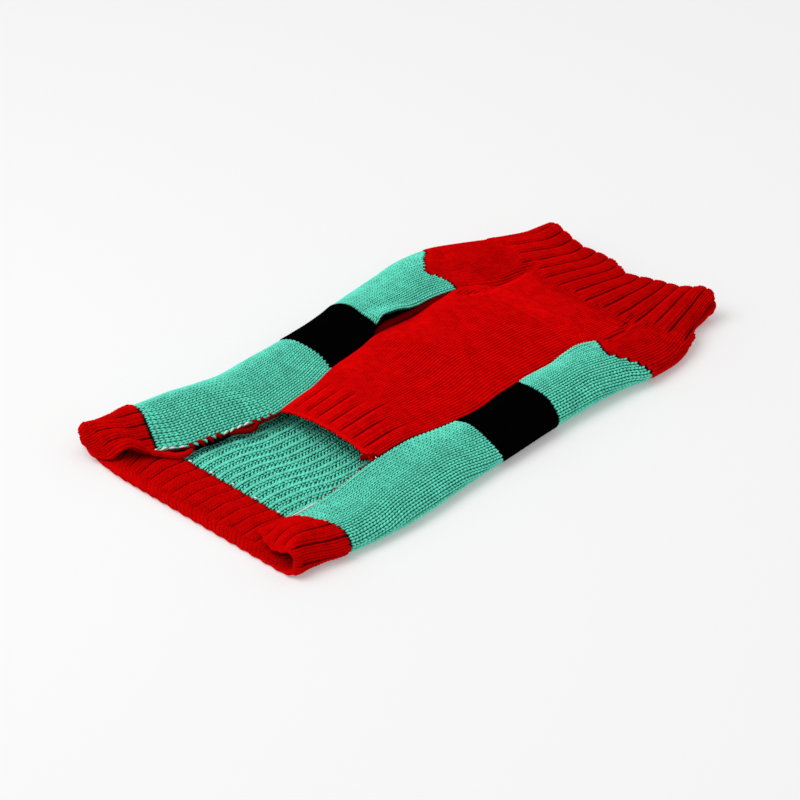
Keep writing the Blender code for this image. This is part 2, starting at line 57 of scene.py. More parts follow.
# ---- driving sizes, mm ----
WALL = 2.4
SEAM_HALF_GAP = 0.16
RIB_RAISE = 1.3
RIB_GROOVE = 0.14          # half of a purl groove's width, as a share of the rib pitch
RIB_SINK = 0.10            # how far the grooves sink under the wall's face
RIB_PITCH = 12.0
HEM_BORDER = 11.5          # smooth cast-on border of the tail hem, on the inner side
OUTER_BORDER = ((0.0, 4.5), (0.5, 4.5), (0.8, 10.5), (1.0, 11.0))     # on the outer side, by share
BORDER_RAISE = 1.0         # its height over the wall, nearly flush with the ribs
BELLY_BORDER = 4.5         # smooth border of the belly panel's hem
BELLY_HEM, BELLY_RIBS = 121.0, 8
HEM_TURN = (0.55, 0.85)    # between these parts of the hem its rib lines turn level with the right edge
DROOP_END, DROOP_DIP, DROOP_BEND = 24.0, 1.2, 2.2     # the mouth's upper layer sags up to this station
WIDEST, FOOT = 0.37, 0.60  # where a fold is widest and where it meets the floor, as shares of its rise
FOLD_POWER = 2.0 / 1.75
HOLE_SWELL = 0.15          # how much a lifted edge lifts the fold beside it
WALE = 4.3                 # width of one knit stitch
ROW = 3.1                  # height of one knit stitch
BACK_WALES = 84
GROUND_INSET = 1.0         # the shell lies this far under the stitches' tops
ROLL = 1.4                 # radius of the rounded rims
HEM_ROLL = 2.1
RIM_BARE = 2.2             # smooth roll at the rims of the collar and the tail hem
JOINT = 0.9                # dark line where two colours meet
EDGE_REACH = 6.0           # the shells' columns are dense this far in from a side edge
INSIDE_END = 150.0         # the inner side carries stitches up to this station
LOWEST = (0.0, 0.35)       # heights at which the outer and the inner side rest on the floor
FAR = 9.0                  # stands for far from any edge
CLEAR_OF_FLOOR = 1.6       # outer stitches start at this height
COVER_RISE = (0.6, 3.0)    # the outer side sinks under its stitches between these heights
ON_FLOOR = 6.5             # inner stitches of the tail end lie below this height
SCALLOP = 0.45             # the ribs wave the rims of both hems by this much
COLLAR_SCALLOP = 0.7       # and the collar's rim by this much
SHARE_STEP, STEP = 0.004, 2.0     # the normals are read between neighbours this far away
EDGE_STEP = 0.003          # and the way in from a side edge over this share
SIDE_SAMPLES, FLOOR_SAMPLES, BELLY_SAMPLES = (32, 32, 24), 64, 64
STATION_STEP = 1.5

# ---- sections of the tube ----
SECTIONS = np.array((
    # station; half width, rise, shoulder, edge x and edge z of the left side, then of the right; crown
    (0, 111, 18.4, 8, 60, 7, 107, 10.6, 6, 80, 6.4, 21),
    (7, 113, 19.2, 9, 61, 7.2, 111, 20.4, 6, 77, 6.8, 21),
    (12, 113, 19.8, 11, 61, 7.6, 111, 21.4, 8, 73, 12, 21),
    (17, 113.5, 20.2, 13, 62, 8.4, 110.5, 21.6, 11, 67, 15.5, 21),
    (28, 115, 20.2, 16, 65, 9.8, 109, 23, 13, 60, 9, 21),
    (38, 118, 20, 17, 68, 11, 108, 25, 14, 56, 8.5, 21),
    (55, 121, 19.5, 19, 70, 13, 106, 25.6, 16, 46, 9.5, 21),
    (75, 123, 19.5, 21, 69, 14, 104, 26, 18, 42, 10.5, 21),
    (100, 124, 20, 23, 65, 15, 100, 25.2, 20, 37, 11, 21.5),
    (121, 123, 20.5, 25, 63, 16, 99, 23.6, 22, 29, 16, 23),
    (150, 120, 21.5, 28, 62, 17, 101, 24.2, 23, 31, 19, 25),
    (185, 117, 22.5, 30, 68, 18, 104, 24, 25, 41, 19.5, 26.5),
    (215, 115, 23.5, 30, 71, 18, 107, 24.5, 27, 46, 19.5, 27.5),
    (245, 113, 25, 28, 67, 18, 112, 27.2, 36, 53, 19, 28),
    (275, 112, 26, 27, 65, 17, 117, 30.3, 46, 52, 18.5, 28),
    (305, 112, 27, 27, 65, 16.5, 122, 29.8, 42, 55, 19.6, 27.5),
    (330, 113, 26, 28, 67, 18, 126, 28, 34, 52, 22, 26.5),
    (350, 116, 23.5, 30, 71, 19.5, 125, 26.8, 32, 40, 21.5, 25),
    (375, 115, 20.5, 29, 71, 19, 118, 25.2, 30, 36, 22, 23.5),
    (395, 111, 19.8, 27, 69, 18, 110, 23, 27, 38, 20.6, 21.5),
    (415, 101, 19.8, 22, 65, 17.8, 99, 21.6, 24, 38, 19.6, 19.5),
    (435, 90, 20.2, 17, 61, 17.8, 89, 22, 20, 36, 19.4, 17.5),
    (450, 88, 21.4, 10, 58, 17.9, 87, 21.7, 18, 35, 19.2, 16.6),
    (465, 88, 22, 8, 56, 18, 85, 21.5, 17, 34, 19, 15.8),
), dtype=float)
LEG_HOLES = {       # how far the side edges are lifted: station, height
    "l": ((258, 0), (272, 2.7), (296, 2.9), (310, 6.0), (322, 7.5), (338, 4.5), (352, 0)),
    "r": ((232, 0), (240, 8.6), (249, 15.3), (262, 14.4), (275, 10.4), (290, 7.1), (305, 5), (330, 0)),
}

# ---- rows where the back panel changes colour: arc distance from its side edge, station ----
HEM_ROW = {
    "l": ((0, 15), (8, 12), (18, 7.5), (30, 5), (50, 3), (75, 0)),
    "r": ((0, 6.5), (5, 2), (10, 0.3), (24, 0.5), (34, 3.5), (44, 7), (54, 7), (64, 4.5), (78, 1),
          (92, 0)),
}
RIB_ROW = {
    "l": ((0, 38), (10, 42), (25, 42), (36, 45), (46, 47), (57, 46), (75, 45)),
    "r": ((0, 33), (20, 38), (45, 44), (80, 46)),
}
BELT_REAR_ROW = {
    "l": ((0, 197), (10, 196), (38, 194), (48, 195), (58, 197), (75, 198)),
    "r": ((0, 184), (20, 189), (55, 188), (85, 188)),
}
BELT_FRONT_ROW = {
    "l": ((0, 264), (12, 259), (22, 257), (36, 258), (46, 257), (70, 256)),
    "r": ((0, 239), (20, 243), (45, 248), (85, 250)),
}
YOKE_ROW = {
    "l": ((0, 342), (5, 340), (18, 333), (25, 331), (31, 336), (38, 345), (46, 351), (54, 354),
          (75, 358)),
    "r": ((0, 325), (10, 328), (18, 327), (27, 321), (42, 331.5), (54, 338.5), (64, 345.5), (74, 352),
          (92, 355)),
}

# ---- collar, by turn ----
COLLAR_START = (
    (0, 379), (0.08, 390), (0.16, 398), (0.24, 392), (0.42, 380), (0.58, 392), (0.67, 396), (0.74, 386),
    (0.82, 377), (0.9, 373), (0.96, 374), (1, 379))
COLLAR_RIM = (
    (0, 453.5), (0.03, 457), (0.05, 460.5), (0.07, 460.5), (0.09, 458), (0.12, 457), (0.16, 458),
    (0.3, 459), (0.5, 459), (0.61, 461), (0.64, 459), (0.68, 454), (0.75, 448), (0.79, 450.5),
    (0.82, 450.5), (0.84, 448.5), (0.88, 442), (0.92, 447), (0.96, 451.5), (1, 453.5))
COLLAR_FROM, COLLAR_TO = 0.505, 1.115         # the ribbed turn
COLLAR_CROWDING = 0.15                        # its ribs draw closer together towards the left

# ---- rolled side edges of the back panel: station, radius of the roll, cloth rolled under ----
LIPS = {
    "l": ((0, 1.4, 1), (38, 1.2, 0.8), (60, 1, 0.5), (112, 1, 0.5), (124, 0.3, 0), (256, 0.3, 0),
          (272, 1.2, 1), (310, 2.2, 2.6), (334, 1.8, 2), (352, 0.3, 0)),
    "r": ((0, 1.8, 1.4), (20, 2.2, 2), (38, 1.6, 1.6), (60, 1, 0.6), (112, 1, 0.5), (124, 0.3, 0),
          (233, 0.3, 0), (244, 1.6, 1.6), (260, 2.9, 1.9), (290, 2.7, 2), (306, 2, 1.6), (322, 1.2, 1),
          (334, 0.3, 0)),
}

# ---- soft creases: depth, half width, and the path as (turn, station) ----
CREASES = (
    (1.5, 2.0, ((0.006, 347), (0.004, 362), (0.995, 378), (0.987, 392))),      # left seam, outer
    (1.0, 1.4, ((0.013, 351), (0.010, 364), (0.998, 379))),                    # left seam, inner
    (2.0, 3.6, ((0.778, 322), (0.795, 334), (0.785, 352), (0.778, 375), (0.765, 392))),
    (2.2, 8.0, ((0.725, 338), (0.695, 343), (0.665, 351))),                    # hollow of the yoke
    (4.2, 1.5, ((0.0905, 454), (0.094, 438), (0.0965, 418))),                  # side of the neck
    (0.9, 1.2, ((0.0985, 404), (0.0915, 356))),
    (0.7, 1.2, ((0.1035, 404), (0.0965, 360))),
)


# ---- smooth curves through short tables ----
def hermite(t, start, start_slope, end, end_slope, h=1.0):
    return ((1 + 2 * t) * (1 - t) ** 2 * start + t * (1 - t) ** 2 * h * start_slope
            + t * t * (3 - 2 * t) * end - t * t * (1 - t) * h * end_slope)


def smooth(knots_x, knots_y, x):
    """Monotone cubic through the knots; knots_y may have several columns."""
    knots_x = np.asarray(knots_x, float)
    knots_y = np.asarray(knots_y, float).reshape(len(knots_x), -1)
    step = np.diff(knots_x)[:, None]
    slope = np.diff(knots_y, axis=0) / step
    before, after = slope[:-1], slope[1:]
    same_way = before * after > 0
    weights = 2 * step[1:] + step[:-1], step[1:] + 2 * step[:-1]
    parts = [weight / np.where(same_way, side, 1.0) for weight, side in zip(weights, (before, after))]
    mean = (weights[0] + weights[1]) / (parts[0] + parts[1])
    tangent = np.vstack((slope[:1], np.where(same_way, mean, 0.0), slope[-1:]))
    x = np.clip(np.asarray(x, float), knots_x[0], knots_x[-1])
    i = np.clip(np.searchsorted(knots_x, x, side="right") - 1, 0, len(knots_x) - 2)
    h = (knots_x[i + 1] - knots_x[i])[..., None]
    t = (x - knots_x[i])[..., None] / h
    y = hermite(t, knots_y[i], tangent[i], knots_y[i + 1], tangent[i + 1], h)
    return y[..., 0] if y.shape[-1] == 1 else y


def table_at(rows, x):
    rows = np.asarray(rows, float)
    return smooth(rows[:, 0], rows[:, 1:], x)


def ramp(x, start, end):
    t = np.clip((np.asarray(x, float) - start) / (end - start), 0.0, 1.0)
    return t * t * (3 - 2 * t)


def unit(v):
    return v / np.maximum(np.linalg.norm(v, axis=-1, keepdims=True), 1e-9)


def pair(a, b):
    return np.broadcast_arrays(np.asarray(a, float), np.asarray(b, float))


# ---- one section of the tube ----
def side_stretches(half, rise, shoulder, edge_x, edge_z, droop):
    """Over the top, round the side and under to the foot; and where the floor stretch begins."""
    top, round_top, foot = SIDE_SAMPLES
    crest_x, foot_x, widest_z = half - shoulder, half - FOOT * rise, WIDEST * rise
    run, drop = crest_x - edge_x, rise - edge_z
    t = np.arange(top)[:, None] / top
    over_top = hermite(t, np.array((edge_x, edge_z)), np.array((run, 1.35 * drop)),
                       np.array((crest_x, rise)), np.array((run, 0.0)))
    low = edge_z + drop * t[:, 0] ** DROOP_BEND - DROOP_DIP * np.sin(math.pi * t[:, 0])
    over_top[:, 1] = over_top[:, 1] * (1 - droop) + low * droop
    a = np.arange(round_top) / round_top * math.pi / 2
    over_side = np.column_stack((crest_x + shoulder * np.sin(a) ** FOLD_POWER,
                                 widest_z + (rise - widest_z) * np.cos(a) ** FOLD_POWER))
    a = np.arange(foot) / foot * math.pi / 2
    under = np.column_stack((foot_x + (half - foot_x) * np.cos(a), widest_z * (1 - np.sin(a))))
    return np.vstack((over_top, over_side, under)), foot_x


def back_section(row):
    """The outer line of the back panel at one station, left edge to right edge."""
    station = row[0]
    droop = 1.0 - ramp(station, 3.0, DROOP_END)
    lines = []
    for side, (half, rise, shoulder, edge_x, edge_z) in (("l", row[1:6]), ("r", row[6:11])):
        edge_z = edge_z + table_at(LEG_HOLES[side], station)
        rise = rise + HOLE_SWELL * max(0.0, edge_z + 1.0 - rise)
        lines.append(side_stretches(half, rise, shoulder, edge_x, edge_z, droop))
    (left, floor_start), (right, floor_end) = lines
    right[:, 0] *= -1
    t = np.arange(FLOOR_SAMPLES)[:, None] / FLOOR_SAMPLES
    floor = np.hstack((floor_start + (-floor_end - floor_start) * t, np.zeros_like(t)))
    return np.vstack((left, floor, ((-floor_end, 0.0),), right[:0:-1], right[:1]))


def belly_section(row):
    """The belly panel's outer line at one station, left seam to right seam."""
    left_x, left_z, right_x, right_z, crown = row[[4, 5, 9, 10, 11]]
    u = np.linspace(0.0, 1.0, BELLY_SAMPLES)
    base = left_z * (1 - u) + right_z * u
    rise = (crown - 0.5 * (left_z + right_z)) * (1 - (2 * u - 1) ** 2) ** 0.8
    return np.column_stack((left_x * (1 - u) - right_x * u, base + rise))


class Sheet:
    """A smooth surface over (share, station), read from dense sections."""

    def __init__(self, sections):
        self.lines, self.length = [], []
        for line in sections:
            steps = np.hypot(*np.diff(line, axis=0).T)
            along = np.concatenate(([0], np.cumsum(steps)))
            even = np.linspace(0, along[-1], len(line))
            self.lines.append(np.column_stack([np.interp(even, along, column) for column in line.T]))
            self.length.append(steps.sum())
        self.lines = np.array(self.lines)

    def width(self, station):
        return np.interp(station, STATIONS, self.length)

    def point(self, share, station):
        share, station = np.broadcast_arrays(share, station)
        rows, columns = self.lines.shape[:2]
        i = np.clip(station / STATION_STEP, 0, rows - 1.000001)
        j = np.clip(share * (columns - 1), 0, columns - 1.000001)
        i0, j0 = i.astype(int), j.astype(int)
        ti, tj = (i - i0)[..., None], (j - j0)[..., None]
        xz = ((self.lines[i0, j0] * (1 - tj) + self.lines[i0, j0 + 1] * tj) * (1 - ti)
              + (self.lines[i0 + 1, j0] * (1 - tj) + self.lines[i0 + 1, j0 + 1] * tj) * ti)
        return np.stack((xz[..., 0], station, xz[..., 1]), axis=-1)

    def normal(self, share, station, wrap=False):
        """Unit normal by the right hand: across, then towards the neck."""
        a, b = share - SHARE_STEP, share + SHARE_STEP
        a, b = (a % 1.0, b % 1.0) if wrap else (np.clip(a, 0, 1), np.clip(b, 0, 1))
        across = self.point(b, station) - self.point(a, station)
        along = self.point(share, station + STEP) - self.point(share, station - STEP)
        return unit(np.cross(across, along))


STATIONS = np.arange(0.0, 466.0, STATION_STEP)
ROWS = np.column_stack((STATIONS, smooth(SECTIONS[:, 0], SECTIONS[:, 1:], STATIONS)))
BACK_LINES = [back_section(row) for row in ROWS]
BELLY_LINES = [belly_section(row) for row in ROWS]
BACK, BELLY = Sheet(BACK_LINES), Sheet(BELLY_LINES)
RING = Sheet([np.vstack((back, belly[::-1][1:])) for back, belly in zip(BACK_LINES, BELLY_LINES)])


def turn_on_ring(sheet, share, station):
    """Part of the way round the tube of a point on the back or the belly panel."""
    if sheet is BACK:
        return share * BACK.width(station) / RING.width(station)
    return 1.0 - share * BELLY.width(station) / RING.width(station)


def row_station(row, share):
    """Station of a colour row at each share of the way across the back panel."""
    width = BACK.width(float(np.mean([station for _, station in row["l"]])))
    arc = np.clip(share, 0.0, 1.0) * width
    (left_end, left), (right_end, right) = row["l"][-1], row["r"][-1]
    middle = np.interp(arc, (left_end, width - right_end), (left, right))
    return np.where(arc < left_end, table_at(row["l"], arc),
                    np.where(arc > width - right_end, table_at(row["r"], width - arc), middle))


def collar_meeting(sheet, share):
    """Station where a panel's front edge meets the collar."""
    share = np.clip(share, 0.0, 1.0)
    station = np.full(np.shape(share), 385.0)
    for _ in range(6):
        station = table_at(COLLAR_START, turn_on_ring(sheet, share, station))
    return station


def front_station(row, share):
    """Front end of a block of the back panel: a colour row, or the collar."""
    return collar_meeting(BACK, share) if row is None else row_station(row, share)


def crease_height(turn, station):
    """How far the soft creases and the swells beside them move the cloth outwards."""
    turn, station = pair(turn, station)
    width = RING.width(station)
    total = np.zeros(turn.shape)
    for depth, half_width, path in CREASES:
        middle = path[len(path) // 2][0]
        x = (turn - np.round(turn - middle)) * width
        nearest = np.full(turn.shape, 1e6)
        for (turn_a, station_a), (turn_b, station_b) in zip(path, path[1:]):
            xa, xb = ((end - round(end - middle)) * width for end in (turn_a, turn_b))
            dx, dy = xb - xa, station_b - station_a
            t = np.clip(((x - xa) * dx + (station - station_a) * dy) / (dx * dx + dy * dy), 0, 1)
            nearest = np.minimum(nearest, np.hypot(x - xa - t * dx, station - station_a - t * dy))
        total -= depth * np.exp(-(nearest / half_width) ** 2)
        total += 0.30 * depth * np.exp(-((nearest - 2.3 * half_width) / (1.2 * half_width)) ** 2)
    return total


# ---- ribs ----
def from_groove(phase):
    """Distance to the nearest groove, as a part of the rib pitch."""
    return np.abs((np.asarray(phase) + 0.5) % 1.0 - 0.5)


def rib_profile(phase, groove=RIB_GROOVE, sink=RIB_SINK):
    """Broad rounded rib with a narrow purl groove at phase 0, in millimetres over the wall."""
    away = from_groove(phase)
    steep = np.sin(np.clip(away / groove, 0, 1) * math.pi / 2)
    crown = np.sin(np.clip(away / 0.50, 0, 1) * math.pi / 2)
    return (RIB_RAISE + sink) * steep * (0.72 + 0.28 * crown) - sink


HEM_WIDTH = float(BACK.width(20.0))
HEM_RIBS = int(round(HEM_WIDTH / RIB_PITCH))
COLLAR_RIBS = int(round(RING.width(459.0) * (COLLAR_TO - COLLAR_FROM) / RIB_PITCH))


# ---- faces of the cloth: point and outward normal at (share, station) ----
def creased(point, normal, turn, station):
    return point + crease_height(turn, station)[..., None] * normal


def wall_side(point, normal, inside, height=0.0):
    """The outer face raised by a height, or the inner side of the wall, and its normal."""
    height = np.asarray(height)[..., None]
    if inside:
        return point - (WALL + height) * normal, -normal
    return point + height * normal, normal


def back_place(share, station):
    """The back panel's outer face, its side edges rolled under as the lip tables say."""
    share, station = pair(share, station)
    width = BACK.width(station)
    radii = [table_at(LIPS[side], station)[..., 0] for side in "lr"]
    held = np.clip(share, radii[0] / width, 1.0 - radii[1] / width)
    normal = BACK.normal(held, station)
    inward = unit(BACK.point(np.clip(held + EDGE_STEP, 0, 1), station)
                  - BACK.point(np.clip(held - EDGE_STEP, 0, 1), station))
    point = creased(BACK.point(held, station), normal, turn_on_ring(BACK, held, station), station)
    past_ends = (held - share) * width, (share - held) * width
    for radius, past, away in zip(radii, past_ends, (-inward, inward)):
        angle = (np.clip(past, 0, None) / radius)[..., None]
        point = point + radius[..., None] * (np.sin(angle) * away + (np.cos(angle) - 1) * normal)
        normal = np.where(angle > 0, np.cos(angle) * normal + np.sin(angle) * away, normal)
    return point, normal


def belly_place(share, station):
    share, station = pair(share, station)
    held = np.clip(share, 0.0, 1.0)
    normal = -BELLY.normal(held, station)
    turn = turn_on_ring(BELLY, held, station)
    return creased(BELLY.point(held, station), normal, turn, station), normal


def ring_place(turn, station):
    turn, station = pair(turn, station)
    turn = turn % 1.0
    normal = RING.normal(turn, station, wrap=True)
    return creased(RING.point(turn, station), normal, turn, station), normal


def past_border(share, station, inside):
    """0 on the tail hem's cast-on border, 1 on its ribs; the border shows widest on the inner side."""
    wide = HEM_BORDER if inside else table_at(OUTER_BORDER, share)
    return ramp(station - row_station(HEM_ROW, share), wide - 3.0, wide + 1.6)


def hem_shown(share, station, inside):
    """Which side of the tail hem is seen: the outer one, and the inner one on the floor."""
    off_floor = ramp(back_place(share, station)[0][..., 2], 0.5, 7.0)
    return (1 - off_floor) if inside else off_floor


def hem_groove(share, station, inside):
    return past_border(share, station, inside) * hem_shown(share, station, inside)


def hem_shift(count, width):
    """Rib lines past the floor stretch keep their distance from the right edge, not the left."""
    return (width - HEM_WIDTH) * ramp(count, *HEM_TURN)


def hem_line(count, station):
    """Share at which a rib line runs: level with the left edge, and past the floor with the right."""
    width = BACK.width(station)
    return (count * HEM_WIDTH + hem_shift(count, width)) / width


def hem_count(share, station):
    """The rib line, as a part of all of them, that runs through a point."""
    count, width = np.asarray(share, float), BACK.width(station)
    for _ in range(8):
        count = (share * width - hem_shift(count, width)) / HEM_WIDTH
    return count


def hem_face(share, station, inside=False):
    """The tail hem's outer or inner face, ribbed past its smooth border."""
    ribbed = past_border(share, station, inside)
    ribs = rib_profile(hem_count(share, station) * HEM_RIBS + (0.5 if inside else 0.0))
    height = hem_shown(share, station, inside) * (ribs * ribbed + BORDER_RAISE * (1 - ribbed))
    return wall_side(*back_place(share, station), inside, height)


def plain_face(share, station, inside=False):
    return wall_side(*back_place(share, station), inside)


def inside_seams(share, reach=0.05):
    """Fades out towards both side seams of the belly panel."""
    return ramp(share, 0.0, reach) * ramp(1 - np.asarray(share), 0.0, reach)


def belly_groove(share, station):
    """How strong the belly panel's ribs are: none on the border, then fading unevenly."""
    uneven = 7.0 * np.sin(7.0 * share * math.pi) + 5.0 * np.sin(17.0 * share + 1.0)
    start = BELLY_HEM + BELLY_BORDER
    fade_end = BELLY_HEM + 50.0 + 0.8 * uneven
    return ((1 - ramp(station, fade_end - 26, fade_end)) * ramp(station, start - 2.0, start + 1.6)
            * inside_seams(share))


def belly_face(share, station, inside=False):
    border = 1 - ramp(station - BELLY_HEM, BELLY_BORDER - 2.0, BELLY_BORDER + 1.6)
    height = (rib_profile(np.asarray(share) * BELLY_RIBS, 0.19, 0.55) * belly_groove(share, station)
              + 0.6 * border * inside_seams(share))
    return wall_side(*belly_place(share, station), inside, 0.0 if inside else height)


def collar_start(turn):
    return table_at(COLLAR_START, np.asarray(turn) % 1.0)


def collar_phase(turn):
    """Ribs counted round the collar, and the way round from where they begin."""
    share = np.where(np.asarray(turn) % 1.0 < COLLAR_TO - 1.0 + 1e-6, turn % 1.0 + 1.0, turn % 1.0)
    way = (share - COLLAR_FROM) / (COLLAR_TO - COLLAR_FROM)
    return COLLAR_RIBS * way * (1 + COLLAR_CROWDING * way) / (1 + COLLAR_CROWDING), share


def collar_turn(phase):
    """The way round at which the rib count reaches a phase."""
    reach = np.asarray(phase) / COLLAR_RIBS * (1 + COLLAR_CROWDING)
    way = (np.sqrt(1 + 4 * COLLAR_CROWDING * reach) - 1) / (2 * COLLAR_CROWDING)
    return COLLAR_FROM + (COLLAR_TO - COLLAR_FROM) * way


def collar_ends(share):
    """Fades the ribs out at both ends of the ribbed turn."""
    return ramp(share, COLLAR_FROM, COLLAR_FROM + 0.03) * (1 - ramp(share, COLLAR_TO - 0.03, COLLAR_TO))


def collar_groove(turn, station):
    """How strong the collar's ribs are: blunt dark ends near the yoke, full at the rim."""
    phase, share = collar_phase(turn)
    uneven = 2.5 * np.sin(2.4 * np.round(phase) + 0.8)
    return collar_ends(share) * ramp(station - collar_start(turn), 6.0 + uneven, 11.0 + uneven)


def collar_face(turn, station, inside=False):
    point, normal = ring_place(turn, station)
    along = ramp(station - collar_start(turn), 14.0, 62.0)
    ribs = rib_profile(collar_phase(turn)[0], 0.20 - 0.09 * along, 0.75 - 0.45 * along)
    height = ribs * collar_groove(turn, station) * ramp(point[..., 2], 0.5, 6.0)
    return wall_side(point, normal, inside, 0.0 if inside else height)


# ---- shells ----
def to_frame(points):
    """Table millimetres to the frame's metres."""
    return (np.asarray(points) + SHIFT) * MM


def link(name, data):
    obj = bpy.data.objects.new(name, data)
    bpy.context.collection.objects.link(obj)
    return obj


def add_mesh(name, points, faces, mat):
    mesh = bpy.data.meshes.new(name)
    mesh.from_pydata(to_frame(points).tolist(), [], faces)
    mesh.materials.append(mat)
    mesh.shade_smooth()
    return link(name, mesh)


def mark(mesh, label, values):
    """Stores one number, or one vector, on each point of a mesh."""
    kind, field = ("FLOAT", "value") if values.ndim == 1 else ("FLOAT_VECTOR", "vector")
    mesh.attributes.new(label, kind, "POINT").data.foreach_set(field, values.ravel())


def shell(name, face, share, station, rounded, covered, joint, mat, ring=False, roll=ROLL):
    """A closed thin wall between a face of the cloth and its inner side.

    rounded is the distance to the nearest free edge, joint that to the nearest change of
    colour; covered says where stitches lie on the outer and the inner side, which sink by the
    ground inset there."""
    outer_top, out = face(share, station)
    inner_top = face(share, station, inside=True)[0]
    middle = 0.5 * (outer_top + inner_top)
    near_edge = np.clip(rounded / roll, 0, 1)
    swell = (np.sqrt(1 - (1 - near_edge) ** 2) * 0.97 + 0.03)[..., None]
    layers = []
    for top, side, cover, lowest in zip((outer_top, inner_top), (-1, 1), covered, LOWEST):
        layer = middle + (top - middle) * swell + side * (GROUND_INSET * cover)[..., None] * out * swell
        layer[..., 2] = np.maximum(layer[..., 2], lowest)
        layers.append(layer.reshape(-1, 3))
    rows, cols = share.shape
    lift, top = rows * cols, (rows - 1) * cols
    across = np.arange(cols if ring else cols - 1)
    i, j = np.meshgrid(np.arange(rows - 1), across, indexing="ij")
    a, b = i * cols + j, i * cols + (j + 1) % cols
    quads = np.stack((a, b, b + cols, a + cols), -1).reshape(-1, 4)
    j, nxt = across, (across + 1) % cols
    faces = [quads, quads[:, ::-1] + lift, np.stack((j, lift + j, lift + nxt, nxt), -1),
             np.stack((top + nxt, lift + top + nxt, lift + top + j, top + j), -1)]
    if not ring:
        a = np.arange(rows - 1) * cols
        b = a + cols - 1
        faces.append(np.stack((a, a + cols, lift + a + cols, lift + a), -1))
        faces.append(np.stack((b, lift + b, lift + b + cols, b + cols), -1))
    obj = add_mesh(name, np.vstack(layers), np.vstack(faces).tolist(), mat)
    # where stitches cover the ground it takes the painted gap shade
    mark(obj.data, "bare", 1.0 - np.concatenate([c.ravel() for c in covered]))
    mark(obj.data, "joint", np.tile((1 - ramp(joint, 1.2 * JOINT, 2.2 * JOINT)).ravel(), 2))
    wales = share * {belly_face: 3 * BELLY_RIBS, collar_face: 3 * COLLAR_RIBS
                     / (COLLAR_TO - COLLAR_FROM)}.get(face, BACK_WALES)
    knit = np.stack((wales, station / ROW, np.zeros_like(wales)), -1).reshape(-1, 3)
    mark(obj.data, "knit", np.concatenate((knit, knit)))
    return obj


def graded(length, step, near=False, far=False):
    """Parts of a length from 0 to 1 as a column, dense at the ends where near or far is true."""
    fine = np.array((0.0, 0.12, 0.35, 0.75, 1.3, 2.2))
    middle = np.linspace(0, length, max(2, int(round(length / step))) + 1)
    low = fine if near else np.array((0.0,))
    high = length - fine[::-1] if far else np.array((length,))
    keep = middle[(middle > low[-1] + 0.6 * step) & (middle < high[0] - 0.6 * step)]
    return (np.concatenate((low, keep, high)) / length)[:, None]


def edge_columns(side, station, count=7):
    """Shares of the dense columns at a side edge, the rolled-under cloth first."""
    under = table_at(LIPS[side], station)[..., 1]
    t = (np.arange(count) / count) ** 1.3
    share = (-under[..., None] + (under[..., None] + EDGE_REACH) * t) / BACK.width(station)[..., None]
    return share if side == "l" else 1.0 - share[..., ::-1]


def edge_room(share, station):
    """Distance along the cloth to its nearer side edge, and how much of it is rolled under there."""
    width = BACK.width(station)
    left, right = (table_at(LIPS[side], station)[..., 1] for side in "lr")
    return (np.minimum(share * width + left, (1 - share) * width + right),
            np.where(share < 0.5, left, right))


def back_shell(name, face, rear_row, front_row, columns, mat, free_rear=False):
    """One block of the back panel between two colour rows."""
    def ends(share):
        scallop = SCALLOP * (1 - np.cos(2 * math.pi * HEM_RIBS * hem_count(share, 4.0)))
        rear = row_station(rear_row, share) + (scallop if free_rear else SEAM_HALF_GAP)
        return rear, front_station(front_row, share) - SEAM_HALF_GAP

    rear, front = ends(np.array((0.0, 0.5, 1.0)))
    steps = graded(float(np.mean(front - rear)), 3.0, near=free_rear)
    middle = np.linspace(0, 1, columns)
    share = np.tile(np.linspace(0, 1, columns + 14), (len(steps), 1))
    for _ in range(3):
        rear, front = ends(share)
        station = rear + (front - rear) * steps
        margin = EDGE_REACH / BACK.width(station[:, :1])
        share = np.hstack((edge_columns("l", station[:, 0]), margin + (1 - 2 * margin) * middle,
                           edge_columns("r", station[:, -1])))
    from_edge, under = edge_room(share, station)
    open_edge = ramp(under, 0.05, 0.4)
    rounded = np.where(open_edge > 0, from_edge, FAR) + FAR * (1 - open_edge)
    if free_rear:
        rounded = np.minimum(rounded, station - rear)
    height = face(share, station)[0][..., 2]
    border = ramp(station - row_station(HEM_ROW, share), RIM_BARE - 1.0, RIM_BARE + 0.8)
    on_floor = (1 - ramp(height, 0.4, 3.0)) * (1 - ramp(station, INSIDE_END - 3, INSIDE_END))
    joint = np.minimum(station - rear + (FAR if free_rear else 0.0),
                       front - station + (FAR if front_row is None else 0.0))
    covered = ramp(height, *COVER_RISE) * border, on_floor * border
    return shell(name, face, share, station, rounded, covered, joint, mat,
                 roll=HEM_ROLL if free_rear else ROLL)


def belly_shell(name, rear, front, columns, mat, free_rear=False):
    share = np.linspace(0, 1, columns)[None, :]
    steps = graded(float(np.mean(front(share) - rear(share))), 3.0, near=free_rear)
    station = rear(share) + (front(share) - rear(share)) * steps
    share = np.broadcast_to(share, station.shape)
    gap = SEAM_HALF_GAP / BELLY.width(station)
    share = np.clip(share, gap, 1 - gap)
    far = np.full(station.shape, FAR)
    border = ramp(station - BELLY_HEM, BELLY_BORDER - 3.0, BELLY_BORDER - 0.5)
    obj = shell(name, belly_face, share, station, station - rear(share) if free_rear else far,
                (border, np.zeros(station.shape)), far, mat, roll=HEM_ROLL)
    obj.data.flip_normals()
    return obj


def under_crease(turn, station):
    """The lower layer of the neck, below the crease at its left side, has no raised stitches."""
    first = 0.0945 + 0.02 * (1 - ramp(station, 400.0, 422.0))
    return (turn > first) & (turn < 0.16) & (station > 400.0)


